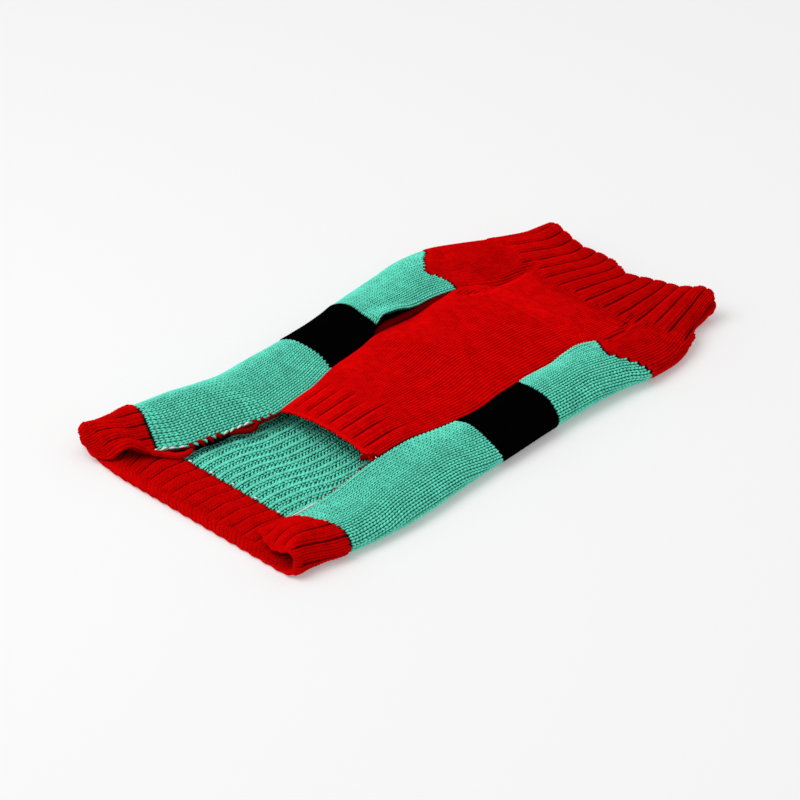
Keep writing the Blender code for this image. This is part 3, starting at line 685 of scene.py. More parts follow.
def collar_shell(name, mat):
    ribbed = collar_turn(np.arange(COLLAR_RIBS * 12) / 12)
    plain = np.linspace(COLLAR_TO, COLLAR_FROM + 1.0, 60)[:-1]
    turn = np.concatenate((ribbed, plain)) % 1.0
    start, rim = collar_start(turn) + SEAM_HALF_GAP, rim_station(turn)
    station = start + (rim - start) * graded(75.0, 2.5, far=True)
    turn = np.broadcast_to(turn, station.shape)
    height = collar_face(turn, station)[0][..., 2]
    near_rim = 1 - ramp(station - rim, -RIM_BARE - 1.2, -RIM_BARE + 0.5)
    covered = ramp(height, *COVER_RISE) * near_rim * ~under_crease(turn, station)
    return shell(name, collar_face, turn, station, rim - station, (covered, np.zeros(station.shape)),
                 np.full(station.shape, FAR), mat, ring=True)


def rim_station(turn):
    """The collar's rim, scalloped by its ribs."""
    phase, share = collar_phase(turn)
    dip = COLLAR_SCALLOP * collar_ends(share) * (1 - from_groove(phase) * 2) ** 2
    return table_at(COLLAR_RIM, np.asarray(turn) % 1.0) - dip


# ---- node trees ----
class Tree:
    """Short calls to lay and link nodes."""

    def __init__(self, tree):
        self.tree, self.nodes, self.links = tree, tree.nodes, tree.links

    @classmethod
    def group(cls, name, kind, inputs, outputs):
        """A node group with named inputs, which are given, and outputs, which done fills."""
        lay = cls(bpy.data.node_groups.new(name, kind))
        for way, sockets in (("INPUT", inputs), ("OUTPUT", outputs)):
            for label, socket_type in sockets.items():
                lay.tree.interface.new_socket(name=label.replace("_", " "), in_out=way,
                                              socket_type="NodeSocket" + socket_type)
        lay.given = lay.nodes.new("NodeGroupInput").outputs
        lay.end = lay.nodes.new("NodeGroupOutput").inputs
        return lay

    def done(self, *values):
        for value, socket in zip(values, self.end):
            self.links.new(value, socket)
        return self.tree

    def fill(self, socket, value):
        if isinstance(value, bpy.types.NodeSocket):
            self.links.new(value, socket)
        else:
            socket.default_value = (*value, 1) if socket.type == "RGBA" else value

    def node(self, kind, **values):
        """Lays one node: properties by their names, sockets as in_0, in_1... or in_ and their names."""
        node = self.nodes.new(kind)
        for key, value in values.items():
            if not key.startswith("in_"):
                setattr(node, key, value)
        for key, value in values.items():
            if key.startswith("in_"):
                place = int(key[3:]) if key[3:].isdigit() else key[3:].replace("_", " ")
                self.fill(node.inputs[place], value)
        return node

    def add(self, kind, **values):
        return self.node(kind, **values).outputs[0]

    def math(self, operation, a, b=0.0, clamp=False):
        return self.add("ShaderNodeMath", operation=operation, use_clamp=clamp, in_0=a, in_1=b)

    def times(self, a, b, clamp=False):
        return self.math("MULTIPLY", a, b, clamp)

    def plus(self, a, b):
        return self.math("ADD", a, b)

    def minus(self, a, b, clamp=False):
        return self.math("SUBTRACT", a, b, clamp)

    def sine(self, half_turns):
        return self.math("SINE", self.times(half_turns, math.pi))

    def mix(self, factor, a, b):
        return self.node("ShaderNodeMix", data_type="RGBA", in_0=factor, in_6=a, in_7=b).outputs[2]

    def attribute(self, name, output="Fac"):
        return self.node("ShaderNodeAttribute", attribute_name=name).outputs[output]

    def place(self):
        return self.node("ShaderNodeTexCoord").outputs["Object"]

    def hair(self, groups, strength):
        return self.add("ShaderNodeGroup", node_tree=groups["fuzz"], in_Hair_Size=HAIR_SIZE,
                        in_Strength=strength)


def stitch_tree():
    """Yarn loops on guide points: each loop one or two tapered legs.

    A guide point carries "out", "wale" and "size" (its scale across, along and outwards)."""
    lay = Tree.group("knit stitches", "GeometryNodeTree", dict(
        Guide="Geometry", Foot="Vector", Middle="Vector", Head="Vector", Yarn_Thickness="Float",
        Taper="Float", Two_Legs="Bool", Turn_Unevenness="Float", Size_Unevenness="Float", Seed="Int",
        Yarn="Material"), dict(Geometry="Geometry"))
    given = lay.given
    legs = []
    for side in (1.0, -1.0):
        start, middle, end = (lay.add("ShaderNodeVectorMath", operation="MULTIPLY", in_0=given[label],
                                      in_1=(side, 1.0, 1.0)) for label in ("Foot", "Middle", "Head"))
        legs.append(lay.add("GeometryNodeCurveQuadraticBezier", in_Resolution=3, in_Start=start,
                            in_Middle=middle, in_End=end))
    both = lay.node("GeometryNodeJoinGeometry", in_0=legs[1])
    lay.links.new(legs[0], both.inputs[0])
    chosen = lay.add("GeometryNodeSwitch", input_type="GEOMETRY", in_Switch=given["Two Legs"],
                     in_False=legs[0], in_True=both.outputs[0])
    factor = lay.add("GeometryNodeSplineParameter")
    marked = lay.add("GeometryNodeStoreNamedAttribute", data_type="FLOAT", domain="POINT",
                     in_Geometry=chosen, in_Name="along", in_Value=factor)
    from_middle = lay.minus(lay.times(factor, 2.0), 1.0)
    taper = lay.minus(1.0, lay.times(lay.times(from_middle, from_middle), given["Taper"]))
    ring = lay.add("GeometryNodeCurvePrimitiveCircle", mode="RADIUS", in_Resolution=4,
                   in_Radius=lay.times(given["Yarn Thickness"], 0.5))
    loop = lay.add("GeometryNodeCurveToMesh", in_Curve=marked, in_Profile_Curve=ring, in_Scale=taper,
                   in_Fill_Caps=True)
    out, wale, size = (lay.add("GeometryNodeInputNamedAttribute", data_type="FLOAT_VECTOR",
                               in_Name=name) for name in ("out", "wale", "size"))
    upright = lay.add("FunctionNodeAlignRotationToVector", axis="Z", in_Vector=out)
    aligned = lay.add("FunctionNodeAlignRotationToVector", axis="Y", pivot_axis="Z",
                      in_Rotation=upright, in_Vector=wale)

    def uneven(amount, step):
        """A random number between minus and plus an amount."""
        seed = lay.plus(given["Seed"], float(step))
        return lay.node("FunctionNodeRandomValue", data_type="FLOAT", in_2=lay.times(amount, -1.0),
                        in_3=amount, in_8=seed).outputs[1]

    twist = lay.add("FunctionNodeAxisAngleToRotation", in_Axis=(0.0, 0.0, 1.0),
                    in_Angle=uneven(given["Turn Unevenness"], 1))
    turned = lay.add("FunctionNodeRotateRotation", rotation_space="LOCAL", in_Rotation=aligned,
                     in_Rotate_By=twist)
    grow = lay.plus(uneven(given["Size Unevenness"], 2), 1.0)
    scale = lay.add("ShaderNodeVectorMath", operation="SCALE", in_0=size, in_Scale=grow)
    placed = lay.add("GeometryNodeInstanceOnPoints", in_Points=given["Guide"], in_Instance=loop,
                     in_Rotation=turned, in_Scale=scale)
    toned = lay.add("GeometryNodeStoreNamedAttribute", data_type="FLOAT", domain="INSTANCE",
                    in_Geometry=placed, in_Name="tone", in_Value=uneven(1.0, 3))
    real = lay.add("GeometryNodeRealizeInstances", in_Geometry=toned)
    soft = lay.add("GeometryNodeSetShadeSmooth", in_Geometry=real, in_Shade_Smooth=True)
    return lay.done(lay.add("GeometryNodeSetMaterial", in_Geometry=soft, in_Material=given["Yarn"]))


class Guide:
    """Points that carry the direction and size of one yarn loop each."""

    def __init__(self):
        self.parts = []

    def add(self, point, out, wale, size):
        self.parts.append([np.reshape(v, (-1, 3)) for v in np.broadcast_arrays(point, out, wale, size)])

    def knit(self, name, tree, mat, **values):
        """Runs the stitch tree over the points and returns the loops as a plain mesh."""
        point, *carried = (np.vstack(v) for v in zip(*self.parts))
        mesh = bpy.data.meshes.new(name + " guide")
        mesh.from_pydata(to_frame(point).tolist(), [], [])
        for label, value in zip(("out", "wale", "size"), carried):
            mark(mesh, label, value)
        guide = link(name + " guide", mesh)
        modifier = guide.modifiers.new("stitches", "NODES")
        modifier.node_group = tree
        names = {item.name: item.identifier for item in tree.interface.items_tree
                 if item.item_type == "SOCKET" and item.in_out == "INPUT"}
        for label, value in {**values, "Yarn": mat}.items():
            modifier[names[label.replace("_", " ")]] = value
        graph = bpy.context.evaluated_depsgraph_get()
        made = bpy.data.meshes.new_from_object(guide.evaluated_get(graph))
        guide.modifiers.clear()
        bpy.data.objects.remove(guide)
        made.name = name
        return link(name, made)


def stitch(points, thickness, taper, uneven_turn, uneven_size, per=(1.0, 1.0, 1.0), two_legs=False):
    """Inputs of the stitch tree, from the leg's three points in millimetres or parts of a cell."""
    foot, middle, head = (tuple(v * size * MM for v, size in zip(point, per)) for point in points)
    return dict(Foot=foot, Middle=middle, Head=head, Yarn_Thickness=thickness * MM, Taper=taper,
                Two_Legs=two_legs, Turn_Unevenness=uneven_turn, Size_Unevenness=uneven_size)


CELL = dict(per=(WALE, ROW, 1.0), two_legs=True)
STITCH = {
    # crisp legs at even half wales, with dark gaps all round
    "turquoise": stitch(((0.14, -0.62, -1.50), (0.25, -0.02, 0.60), (0.36, 0.66, -1.55)),
                        1.66, 0.60, 0.07, 0.06, **CELL),
    # fuller, smoother yarn that closes the gaps
    "red": stitch(((0.21, -0.78, -0.72), (0.25, -0.02, -0.08), (0.29, 0.84, -0.76)),
                  2.28, 0.35, 0.03, 0.03, **CELL),
    # inner side: smooth raised cords along the wales, and purl bars between them
    "cord": stitch(((0.10, -0.80, -0.60), (0.14, 0.0, 0.55), (0.11, 0.80, -0.60)),
                   2.05, 0.6, 0.16, 0.10, **CELL),
    "bars": stitch(((0.06, 0.20, -0.30), (0.28, 0.25, 0.60), (0.46, -0.42, -1.30)),
                   1.95, 0.6, 0.30, 0.14, **CELL),
}
STITCH["black"] = STITCH["red"]


def block_cells(face, ends, wales, rows, inside=False, keep=None, bend=None):
    """Stitches of one block; wales are (share, share of one wale).

    bend moves and widens the wales row by row, as beside the grooves of ribs; keep says which
    stitches are laid."""
    def at(share, station):
        return face(share, station, inside=inside)[0]

    guide = Guide()
    row = (np.arange(rows) + 0.5) / rows
    for middle, wale_share in wales:
        rear, front = ends(np.array((middle,)))
        station = rear + (front - rear) * row
        row_length = np.full(rows, float(front[0] - rear[0]) / rows)
        share, width = np.full(rows, middle), np.full(rows, wale_share)
        if bend is not None:
            share, width = bend(share, station, width)
        point, rough = face(share, station, inside=inside)
        chosen = np.ones(rows, bool) if keep is None else keep(share, station, point)
        if not chosen.any():
            continue
        half = 0.5 * width
        across = at(share + half, station) - at(share - half, station)
        along = at(share, station + 0.5 * row_length) - at(share, station - 0.5 * row_length)
        out = unit(np.cross(across, along))
        out = np.where((out * rough).sum(-1, keepdims=True) < 0, -out, out)
        size = np.stack((np.linalg.norm(across, axis=-1) / WALE,
                         np.linalg.norm(along, axis=-1) / ROW, np.ones(rows)), -1)
        guide.add(*(v[chosen] for v in (point, out, unit(along), size)))
    return guide


def rib_bend(phase_of, per_turn, groove, most=0.12):
    """Three wales to a rib, drawn together beside the narrow purl groove where it is strong."""
    def bend(share, station, width):
        offset = phase_of(share) % 1.0 - 0.5
        draw = most * groove(share, station)
        return share - offset * draw / per_turn(share), width * (1 - draw)
    return bend


# ---- materials ----
def fuzz_group():
    """Fine hair and spin of the yarn as a normal."""
    lay = Tree.group("yarn fuzz", "ShaderNodeTree", dict(Hair_Size="Float", Strength="Float"),
                     dict(Normal="Vector"))
    noise = lay.add("ShaderNodeTexNoise", in_Vector=lay.place(), in_Detail=3.0, in_Roughness=0.65,
                    in_Scale=lay.math("DIVIDE", 1.0, lay.given["Hair Size"]))
    return lay.done(lay.add("ShaderNodeBump", in_Height=noise, in_Strength=lay.given["Strength"],
                            in_Distance=0.0006))


def shade_group():
    """Colour of a stitch: painted shade where the leg dips into the cloth, uneven from loop to loop."""
    lay = Tree.group("stitch shade", "ShaderNodeTree", dict(
        Colour="Color", Deep_Colour="Color", Dip="Float", Unevenness="Float"), dict(Colour="Color"))
    dip = lay.times(lay.minus(1.0, lay.sine(lay.attribute("along"))), lay.given["Dip"], clamp=True)
    mixed = lay.mix(dip, lay.given["Colour"], lay.given["Deep Colour"])
    patch = lay.add("ShaderNodeTexNoise", in_Vector=lay.place(), in_Scale=55.0, in_Detail=2.0)
    sway = lay.plus(lay.times(lay.attribute("tone"), 0.5), lay.minus(patch, 0.5))
    value = lay.plus(lay.times(sway, lay.given["Unevenness"]), 1.0)
    return lay.done(lay.add("ShaderNodeHueSaturation", in_Color=mixed, in_Value=value))


def relief_group():
    """Flat knit: V stitches as a height, and a mask of the gaps between them."""
    lay = Tree.group("knit relief", "ShaderNodeTree", dict(Softness="Float"),
                     dict(Height="Float", Gap="Float"))
    wale, course, _ = lay.node("ShaderNodeSeparateXYZ", in_0=lay.attribute("knit", "Vector")).outputs
    across = lay.times(lay.math("ABSOLUTE", lay.minus(lay.math("FRACT", wale), 0.5)), 2.0)
    row = lay.math("FRACT", lay.minus(course, lay.times(across, 0.8)))
    height = lay.math("POWER", lay.times(lay.sine(row), lay.sine(across), clamp=True),
                      lay.given["Softness"])
    return lay.done(height, lay.minus(1.0, lay.times(height, 1.8, clamp=True), clamp=True))


def new_material(name, roughness=0.92, specular=0.0):
    """A matte material, short calls for its nodes, and its shader's inputs."""
    mat = bpy.data.materials.new(name)
    mat.use_nodes = True
    shader = mat.node_tree.nodes["Principled BSDF"].inputs
    shader["Roughness"].default_value = roughness
    shader["Specular IOR Level"].default_value = specular
    return mat, Tree(mat.node_tree), shader


def yarn_material(name, groups, colour, deep, dip, uneven, fuzz):
    mat, lay, shader = new_material(name)
    # painted shade darkens the ends of the legs
    shade = lay.add("ShaderNodeGroup", node_tree=groups["shade"], in_Colour=colour,
                    in_Deep_Colour=deep, in_Dip=dip, in_Unevenness=uneven)
    lay.fill(shader["Base Color"], shade)
    lay.fill(shader["Normal"], lay.hair(groups, fuzz))
    return mat


def ground_material(name, groups, colour, deep, gap_shade, relief_depth):
    """The shell: knit relief where bare, its gaps darkened as painted shade; where covered, painted
    shade between the stitches.
    """
    mat, lay, shader = new_material(name)
    relief = lay.node("ShaderNodeGroup", node_tree=groups["relief"], in_Softness=0.7).outputs
    bare = lay.attribute("bare")
    # painted shade: the relief's gaps take the shaded colour, and the covered ground takes the gap
    # colour
    knit = lay.mix(lay.times(relief["Gap"], relief_depth), colour, deep)
    ground = lay.mix(bare, gap_shade, knit)
    lay.fill(shader["Base Color"], lay.mix(lay.attribute("joint"), ground, JOINT_COLOUR))
    bump = lay.add("ShaderNodeBump", in_Height=lay.times(relief["Height"], bare),
                   in_Strength=relief_depth, in_Distance=0.0012, in_Normal=lay.hair(groups, 0.25))
    lay.fill(shader["Normal"], bump)
    return mat


COLOURS = {
    #                         yarn                    painted shade           painted gap shade
    # The two reds are one yarn: the lighter one, on the belly panel, is painted light, and the darker
    # one, on the tail hem, yoke and collar, is painted shade.
    "red": ((0.59, 0.0012, 0.0013), (0.43, 0.0005, 0.0005), (0.24, 0.0002, 0.0002)),
    "bright red": ((0.70, 0.0015, 0.0016), (0.52, 0.0007, 0.0007), (0.29, 0.0002, 0.0002)),
    "turquoise": ((0.165, 0.80, 0.61), (0.035, 0.38, 0.27), (0.004, 0.10, 0.068)),
    "black": ((0.0010, 0.0010, 0.0011), (0.0005, 0.0005, 0.0005), (0.0003, 0.0003, 0.0003)),
}
# how strongly each yarn's legs are darkened at their ends, as painted shade
DIP_SHADE = {"red": 0.45, "bright red": 0.45, "turquoise": 1.0, "black": 0.4}
SEWING_YARNS = {      # yarn, painted shade where the legs dip, dip, unevenness, fuzz
    "white": ((0.86, 0.86, 0.84), (0.5, 0.5, 0.5), 0.3, 0.1, 0.3),
    "dark red": ((0.33, 0.001, 0.002), (0.12, 0.0, 0.0), 0.5, 0.2, 0.4),
}
HAIR_SIZE = 0.0011
JOINT_COLOUR = (0.004, 0.004, 0.004)


def make_materials():
    groups = {"fuzz": fuzz_group(), "shade": shade_group(), "relief": relief_group()}
    mats = {}
    for key, (colour, deep, gap) in COLOURS.items():
        mats[key] = yarn_material(f"{key} wool yarn", groups, colour, deep, DIP_SHADE[key], 0.22, 0.35)
        # the relief's depth sets its bump and how strongly its gaps are painted with shade
        depth = 0.35 if "red" in key else 0.8
        mats[key + " ground"] = ground_material(f"{key} knit ground", groups, colour, deep, gap, depth)
    for key, values in SEWING_YARNS.items():
        mats[key] = yarn_material(f"{key} sewing yarn", groups, *values)
    return mats


# ---- the cloth ----
def even_wales(count, start=0.0, end=1.0, extra=0):
    """Wales side by side; extra ones lie past both ends, on the rolled-under edges."""
    span = (end - start) / count
    return [(start + span * (k + 0.5), span) for k in range(-extra, count + extra)]


def back_ends(rear_row, front_row, colour):
    """Where the stitches of a block begin and end, so that its dark joints stay bare."""
    joint = JOINT * (2.0 if colour == "red" else 1.1)
    before = RIM_BARE - 0.4 if rear_row is HEM_ROW else joint
    after = 0.0 if front_row is None else joint
    return lambda share: (row_station(rear_row, share) + before,
                          front_station(front_row, share) - after)


def seen_outside(share, station, point):
    """Outer stitches: clear of the floor, and past a side edge only where cloth is rolled under."""
    return (point[..., 2] > CLEAR_OF_FLOOR) & (edge_room(share, station)[0] > 0.8)


def seen_inside(share, station, point):
    return (point[..., 2] < ON_FLOOR) & (station < INSIDE_END) & (np.abs(share - 0.5) < 0.33)


# The red blocks take the darker red, which is painted shade.
BLOCKS = (
    # node        face        rear row        front row       colour       rows
    ("hem_rib", hem_face, HEM_ROW, RIB_ROW, "red", 14),
    ("back_rear", plain_face, RIB_ROW, BELT_REAR_ROW, "turquoise", 48),
    ("back_belt", plain_face, BELT_REAR_ROW, BELT_FRONT_ROW, "black", 20),
    ("back_front", plain_face, BELT_FRONT_ROW, YOKE_ROW, "turquoise", 29),
    ("back_yoke", plain_face, YOKE_ROW, None, "red", 13),
)


def flat_size(sheet, rear, front):
    """Width and length of the cloth of one block as cut, in metres."""
    middle = 0.5 * (rear + front)
    return float(sheet.width(middle)) * MM, float(front - rear) * MM


def attach(obj, node=None):
    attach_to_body(obj, "root")
    if node:
        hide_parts(node)


def dress(obj, node, flat, pieces=()):
    attach(obj, node)
    for piece in pieces:
        attach(piece)


def hem_bend(inside):
    """The wales of the tail hem follow its rib lines."""
    draw = rib_bend(lambda count: count * HEM_RIBS + (0.5 if inside else 0.0), lambda count: HEM_RIBS,
                    lambda count, station: hem_groove(hem_line(count, station), station, inside),
                    most=0.08 if inside else 0.14)

    def bend(count, station, width):
        count, width = draw(count, station, width)
        return hem_line(count, station), width * HEM_WIDTH / BACK.width(station)
    return bend


def build_back(mats, tree):
    for node, face, rear_row, front_row, colour, rows in BLOCKS:
        hem = node == "hem_rib"
        obj = back_shell(node + "_cloth", face, rear_row, front_row, HEM_RIBS * 12 + 1 if hem else 140,
                         mats[colour + " ground"], free_rear=hem)
        ends = back_ends(rear_row, front_row, colour)

        def knit(label, wales, seed, kind, **values):
            guide = block_cells(face, ends, wales, rows, **values)
            return guide.knit(f"{node}_{label}", tree, mats[colour], Seed=seed, **STITCH[kind])

        if hem:
            shift = 0.5 / HEM_RIBS
            pieces = [knit("stitches", even_wales(3 * HEM_RIBS), 3, "red", keep=seen_outside,
                           bend=hem_bend(False)),
                      knit("inside", even_wales(3 * HEM_RIBS, shift, 1 + shift), 5, "red", inside=True,
                           keep=seen_inside, bend=hem_bend(True))]
        else:
            pieces = [knit("stitches", even_wales(BACK_WALES, extra=2), 3, colour, keep=seen_outside)]
        if node == "back_rear":      # inside, a smooth cord on every second wale and purl bars between
            for label, kind, offset in (("cords", "cord", -0.25), ("bars", "bars", 0.25)):
                wales = [(share + offset * span, 0.5 * span)
                         for share, span in even_wales(BACK_WALES // 2)]
                pieces.append(knit(label, wales, 6, kind, inside=True, keep=seen_inside,
                                   bend=inner_drift))
        share = np.linspace(0, 1, 41)
        rear = float(np.mean(row_station(rear_row, share)))
        front = float(np.mean(ends(share)[1]))
        dress(obj, node, flat_size(BACK, rear, front), pieces)


def inner_drift(share, station, width):
    """The floor layer lies slightly pulled to the right between the hem and the belly panel."""
    pulled = 3.4 * np.sin(math.pi * np.clip((station - 42.0) / 80.0, 0, 1))
    return share + pulled / BACK.width(station), width


def build_belly(mats, tree):
    def hem_edge(share):
        wave = np.sin(2 * math.pi * 2 * BELLY_RIBS * share) + 0.6 * np.sin(31.0 * share + 0.7)
        return BELLY_HEM + SCALLOP * wave * ramp(share, 0.0, 0.06) * ramp(1 - share, 0.0, 0.06)

    def collar_edge(share):
        return collar_meeting(BELLY, share) - SEAM_HALF_GAP

    def at(station):
        return lambda share: np.full(np.shape(share), float(station))

    seam, first_row = at(BELLY_HEM + 45.0), at(BELLY_HEM + BELLY_BORDER - 2.0)
    bend = rib_bend(lambda share: share * BELLY_RIBS, lambda share: BELLY_RIBS, belly_groove)
    for node, rear, first, front, rows, columns in (
            ("belly_hem_rib", hem_edge, first_row, seam, 13, 97),
            ("belly_panel", seam, seam, collar_edge, 68, 60)):
        # The belly panel takes the lighter red, which is painted light.
        obj = belly_shell(node + "_cloth", rear, front, columns, mats["bright red ground"],
                          free_rear=rear is hem_edge)
        guide = block_cells(belly_face, lambda share: (first(share), front(share)),
                            even_wales(3 * BELLY_RIBS), rows, bend=bend)
        stitches = guide.knit(node + "_stitches", tree, mats["bright red"], Seed=7, **STITCH["red"])
        rear_mean, front_mean = (float(np.mean(end(np.linspace(0, 1, 9)))) for end in (rear, front))
        dress(obj, node, flat_size(BELLY, rear_mean, front_mean), [stitches])


def build_collar(mats, tree):
    def ends(turn):
        return collar_start(turn) + 0.2, rim_station(turn) - RIM_BARE + 0.4

    def per_turn(turn):
        return 2000 * (collar_phase(turn + 0.00025)[0] - collar_phase(turn - 0.00025)[0])

    def keep(turn, station, point):
        return (point[..., 2] > CLEAR_OF_FLOOR) & ~under_crease(turn, station)

    # The collar takes the darker red, which is painted shade.
    obj = collar_shell("collar_cloth", mats["red ground"])
    edges = collar_turn(np.arange(3 * COLLAR_RIBS + 1) / 3)
    bend = rib_bend(lambda turn: collar_phase(turn)[0], per_turn, collar_groove, most=0.14)
    wales = zip(0.5 * (edges[1:] + edges[:-1]) % 1.0, np.diff(edges))
    guide = block_cells(collar_face, ends, wales, 23, keep=keep, bend=bend)
    stitches = guide.knit("collar_stitches", tree, mats["red"], Seed=11, **STITCH["red"])
    dress(obj, "collar", (float(RING.width(420.0)) * MM, 0.070), [stitches])


# ---- sewn edges ----
def tube(name, path, radius, mat, sides=10):
    """A closed round strand through the points of a path."""
    path = np.asarray(path, float)
    radius = np.broadcast_to(radius, len(path))
    tangent = unit(np.gradient(path, axis=0))
    up = unit(np.array((0.0, 0.0, 1.0)) - tangent[:, 2:3] * tangent)
    beside = np.cross(tangent, up)
    angle = (np.arange(sides) * 2 * math.pi / sides)[None, :, None]
    spokes = np.cos(angle) * up[:, None] + np.sin(angle) * beside[:, None]
    ring = path[:, None] + radius[:, None, None] * spokes
    i, j = np.meshgrid(np.arange(len(path) - 1), np.arange(sides), indexing="ij")
    a, b = i * sides + j, i * sides + (j + 1) % sides
    faces = np.stack((a, b, b + sides, a + sides), -1).reshape(-1, 4).tolist()
    faces.append(list(range(sides))[::-1])
    faces.append([(len(path) - 1) * sides + k for k in range(sides)])
    return add_mesh(name, ring.reshape(-1, 3), faces, mat)


def edge_path(side, stations, beyond, below):
    """Points beside a free side edge: beyond it by one distance and under it by another."""
    share, inner = (np.full_like(stations, at) for at in ((0.0, 0.01) if side == "l" else (1.0, 0.99)))
    edge, normal = BACK.point(share, stations), BACK.normal(share, stations)
    outward = unit(edge - BACK.point(inner, stations))
    return edge + beyond * outward - below * normal, outward, normal


TRIM_START = 38.0
EDGE_STITCH = {
    "stroke": stitch(((0.0, -2.7, -0.5), (0.3, 0.0, 1.6), (0.0, 2.7, -0.5)), 1.9, 0.66, 0.10, 0.12),
    "loop": stitch(((-2.4, -1.2, -0.6), (0.2, 0.2, 4.4), (2.8, 1.4, -1.4)), 3.6, 0.66, 0.12, 0.10),
}
# by side, yarn and kind of stitch: station, past the edge, over the face, slant in degrees, size
EDGE_YARN = {
    ("r", "white", "stroke"): (
        (32, -1.4, 0.6, -14, 1.0), (38, -1.4, 0.6, -8, 1.0), (43, -0.9, 0.6, 6, 1.0),
        (48.5, -0.6, 0.6, 10, 0.95), (80.5, 0.2, 0.7, -16, 0.9), (86, -0.2, 0.8, -22, 0.95),
        (92, -0.4, 0.9, -18, 1.0), (98, -0.6, 1.0, -12, 1.0)),
    ("r", "dark red", "loop"): (
        (53.5, 0.4, 0.2, 4, 1.0), (60.5, 0.4, 0.2, 0, 1.0), (67.5, 0.4, 0.2, -6, 1.05),
        (74.5, 0.4, 0.2, 3, 0.95), (103, 0.2, 0.4, 10, 0.75), (108.5, 0.2, 0.4, -8, 0.7),
        (114, 0.2, 0.4, 15, 0.65)),
    ("r", "turquoise", "loop"): (
        (57, 0.5, 0.5, -20, 0.55), (64, 0.5, 0.5, 12, 0.55), (71, 0.5, 0.5, -8, 0.5),
        (78, 0.3, 0.4, 0, 0.5)),
    ("l", "dark red", "loop"): (
        (66, 0.0, 0.2, 20, 0.35), (80, 0.0, 0.5, -15, 0.3), (108, 0.0, 0.5, 10, 0.4)),
    ("l", "white", "stroke"): ((124, -1.0, 1.2, 60, 0.5),),
}
# name, yarn, greatest radius, shape of its ends, path as (x, station, height)
LOOSE_STRANDS = (
    ("loose_strand", "dark red", 1.9, 0.35, (
        (-39.2, 84, 9), (-37.5, 89.5, 9), (-33.8, 94.7, 9), (-32, 98.6, 9.5), (-31.4, 101.4, 12),
        (-34, 103.5, 14))),
    ("rib_edging", "red", 2.2, 0.7, (
        (-62.7, 27.3, 12), (-59.2, 29.9, 9), (-54.3, 36.3, 6.8), (-47.4, 41, 6.6), (-44.3, 47.5, 6.8),
        (-44.5, 52.7, 7.6))),
    # a black strand under the far free edge: painted shade beneath the edge
    ("edge_shade_strand", "black", 1.5, 0.6, (
        (-57, 33, 7.4), (-51, 41, 7.2), (-46.2, 50.4, 7.2), (-44, 59.4, 7.4), (-42.1, 67, 7.8),
        (-40.3, 74.8, 8), (-38.2, 82.2, 8.4))),
    ("fine_thread", "white", 0.6, 0.2, (
        (70.3, 36.2, 12.6), (71.4, 47.2, 13.9), (72, 60.6, 14.6))),
    # the belly's edge rolled up under the lip of the far leg hole; its darker red is painted shade
    # under the lip
    ("leg_hole_seam", "dark red", 3, 0.3, (
        (-54.6, 240, 19), (-56.8, 252, 19.6), (-56.6, 268, 19.4), (-57, 284, 19.4), (-58, 300, 20),
        (-56.5, 322, 21.4))),
    # a black strand in the far leg hole: painted shade of its cavity
    ("leg_hole_shade_strand", "black", 4.4, 0.3, (
        (-57.5, 238, 20.5), (-62, 247, 22), (-63.5, 262, 22.5), (-63, 280, 21.5), (-62.5, 298, 20.5),
        (-60.5, 315, 20.5))),
    ("folded_tip", "dark red", 2.4, 0.6, (
        (54.5, 117.9, 15), (56.3, 121.9, 16), (60.1, 123.9, 16.4), (61.6, 127.2, 16.6))),
)
# on the inner side
WHITE_KNOTS = ((-38.2, 44.9), (-17.1, 45.3), (4.2, 46.2), (27.8, 45.2), (51.3, 44.5))


def sew_edge(side, mats, tree):
    """The stitches of one free edge, one object for each yarn and kind."""
    for (where, yarn, kind), rows in EDGE_YARN.items():
        if where != side:
            continue
        guide = Guide()
        for station, past, over, slant, size in rows:
            path, outward, normal = edge_path(side, station + np.array((-2.0, 0.0, 2.0)), past, -over)
            turned = (math.cos(math.radians(slant)) * unit(path[2] - path[0])
                      + math.sin(math.radians(slant)) * outward[1])
            guide.add(path[1], normal[1], turned, np.full(3, size))
        name = f"edge_{'left' if side == 'l' else 'right'}_{yarn.replace(' ', '_')}_{kind}s"
        loops = guide.knit(name, tree, mats[yarn], Seed=13, **EDGE_STITCH[kind])
        attach(loops)


def build_trims(mats, tree):
    stations = np.linspace(TRIM_START, BELLY_HEM - 1.0, 60)
    for side, node in (("l", "edge_trim_left"), ("r", "edge_trim_right")):
        path, _, _ = edge_path(side, stations, 0.4, 2.0)
        sway = 0.25 * np.sin(stations * 1.4)[:, None] * np.array((0.0, 0.0, 1.0))
        radius = 1.05 + 0.12 * np.sin(stations * 2.1)
        core = tube(node + "_strand", path + sway, radius, mats["dark red"])
        attach(core, node)
        sew_edge(side, mats, tree)
    for name, yarn, radius, tip, corners in LOOSE_STRANDS:
        corners = np.array(corners, float)
        t = np.linspace(0, 1, 12 * len(corners))
        path = smooth(np.linspace(0, 1, len(corners)), corners, t)
        swell = np.minimum(1.0, tip + (1 - tip) * np.sin(math.pi * t) * 2.0)
        strand = tube(name, path, radius * swell * (1 + 0.06 * np.sin(31 * t)), mats[yarn])
        attach(strand)
    guide = Guide()
    for x, station in WHITE_KNOTS:
        guide.add((x, station, WALL + RIB_RAISE + 0.8), (0, 0, 1.0), (1.0, 0.2, 0), (0.8, 0.55, 0.8))
    attach(guide.knit("white_knots", tree, mats["white"], Seed=17, **EDGE_STITCH["stroke"]))


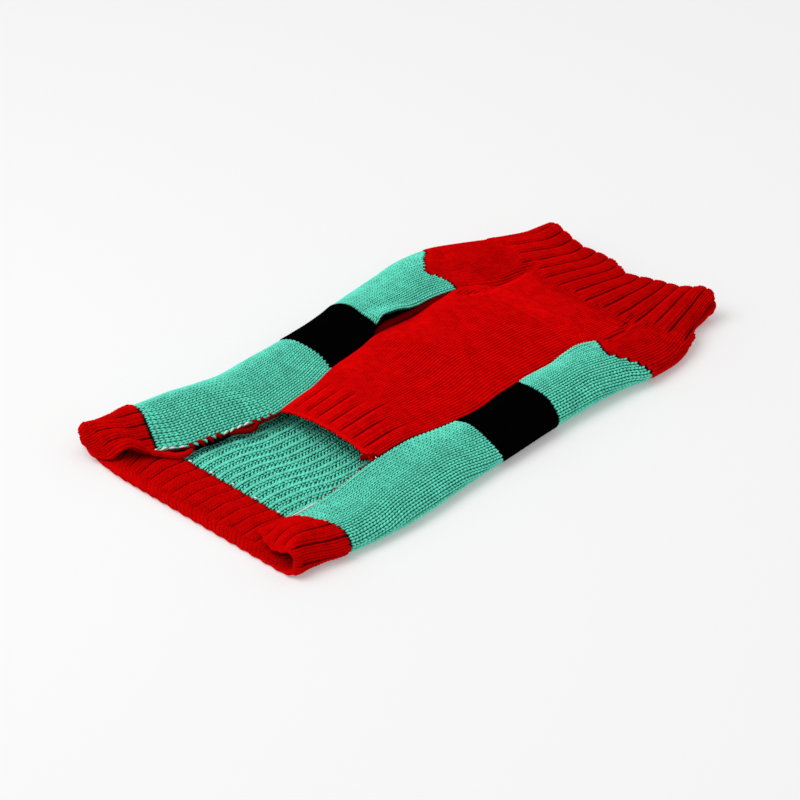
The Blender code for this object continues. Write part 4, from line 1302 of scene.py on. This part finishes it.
# ---- floor, light and camera ----
AZIMUTH, ELEVATION = math.radians(44.8), math.radians(31.4)
LOOK_AT, DISTANCE = Vector((0.0031, -0.0213, 0.0)), 2.068
SENSOR_WIDTH, FOCAL_PIXELS = 36.0, 2891.5
LIGHTS = (("key light", "AREA", "size", 4.6), ("soft sun", "SUN", "angle", 1.08))
FROM_TAIL = Vector((-0.42, -0.62, 1.22))
FLOOR_HALF, FLOOR_Z, FLOOR_TONE = 6.0, -0.0002, 0.66
FLOOR_GLOW = 0.23              # light from below keeps its shadows soft
LIGHT_SPREAD, SKY = 0.9, 0.60


def look_from(azimuth, elevation):
    return Vector((math.sin(azimuth) * math.cos(elevation), -math.cos(azimuth) * math.cos(elevation),
                   math.sin(elevation)))


def stand(name, data, spot, target):
    """Puts a light or the camera on its spot, turned to its target."""
    obj = link(name, data)
    obj.location = spot
    obj.rotation_euler = (target - spot).to_track_quat("-Z", "Y").to_euler()
    return obj


def build_studio():
    pale, _, shader = new_material("pale floor", 0.95, 0.5)
    shader["Base Color"].default_value = (FLOOR_TONE, FLOOR_TONE, FLOOR_TONE, 1)
    shader["Emission Color"].default_value = (1, 1, 1, 1)
    shader["Emission Strength"].default_value = FLOOR_GLOW
    mesh = bpy.data.meshes.new("floor")
    corners = (-1, -1), (1, -1), (1, 1), (-1, 1)
    points = [(x * FLOOR_HALF, y * FLOOR_HALF, FLOOR_Z) for x, y in corners]
    mesh.from_pydata(points, [], [(0, 1, 2, 3)])
    mesh.materials.append(pale)
    link("floor", mesh)
    world = bpy.data.worlds.new("studio")
    bpy.context.scene.world = world
    world.use_nodes = True
    sky = world.node_tree.nodes["Background"].inputs
    sky["Color"].default_value, sky["Strength"].default_value = (1, 1, 1, 1), SKY
    for name, kind, field, power in LIGHTS:
        light = bpy.data.lights.new(name, kind)
        setattr(light, field, LIGHT_SPREAD)
        light.energy = power
        stand(name, light, FROM_TAIL, Vector((0, 0, 0)))
    camera = bpy.data.cameras.new("camera")
    camera.sensor_width, camera.lens = SENSOR_WIDTH, FOCAL_PIXELS / 800 * SENSOR_WIDTH
    spot = LOOK_AT + DISTANCE * look_from(AZIMUTH, ELEVATION)
    bpy.context.scene.camera = stand("camera", camera, spot, LOOK_AT)
    bpy.context.scene.view_settings.view_transform = "Standard"


def main():
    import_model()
    mats = make_materials()
    tree = stitch_tree()
    build_studio()
    build_back(mats, tree)
    build_belly(mats, tree)
    build_collar(mats, tree)
    build_trims(mats, tree)


main()
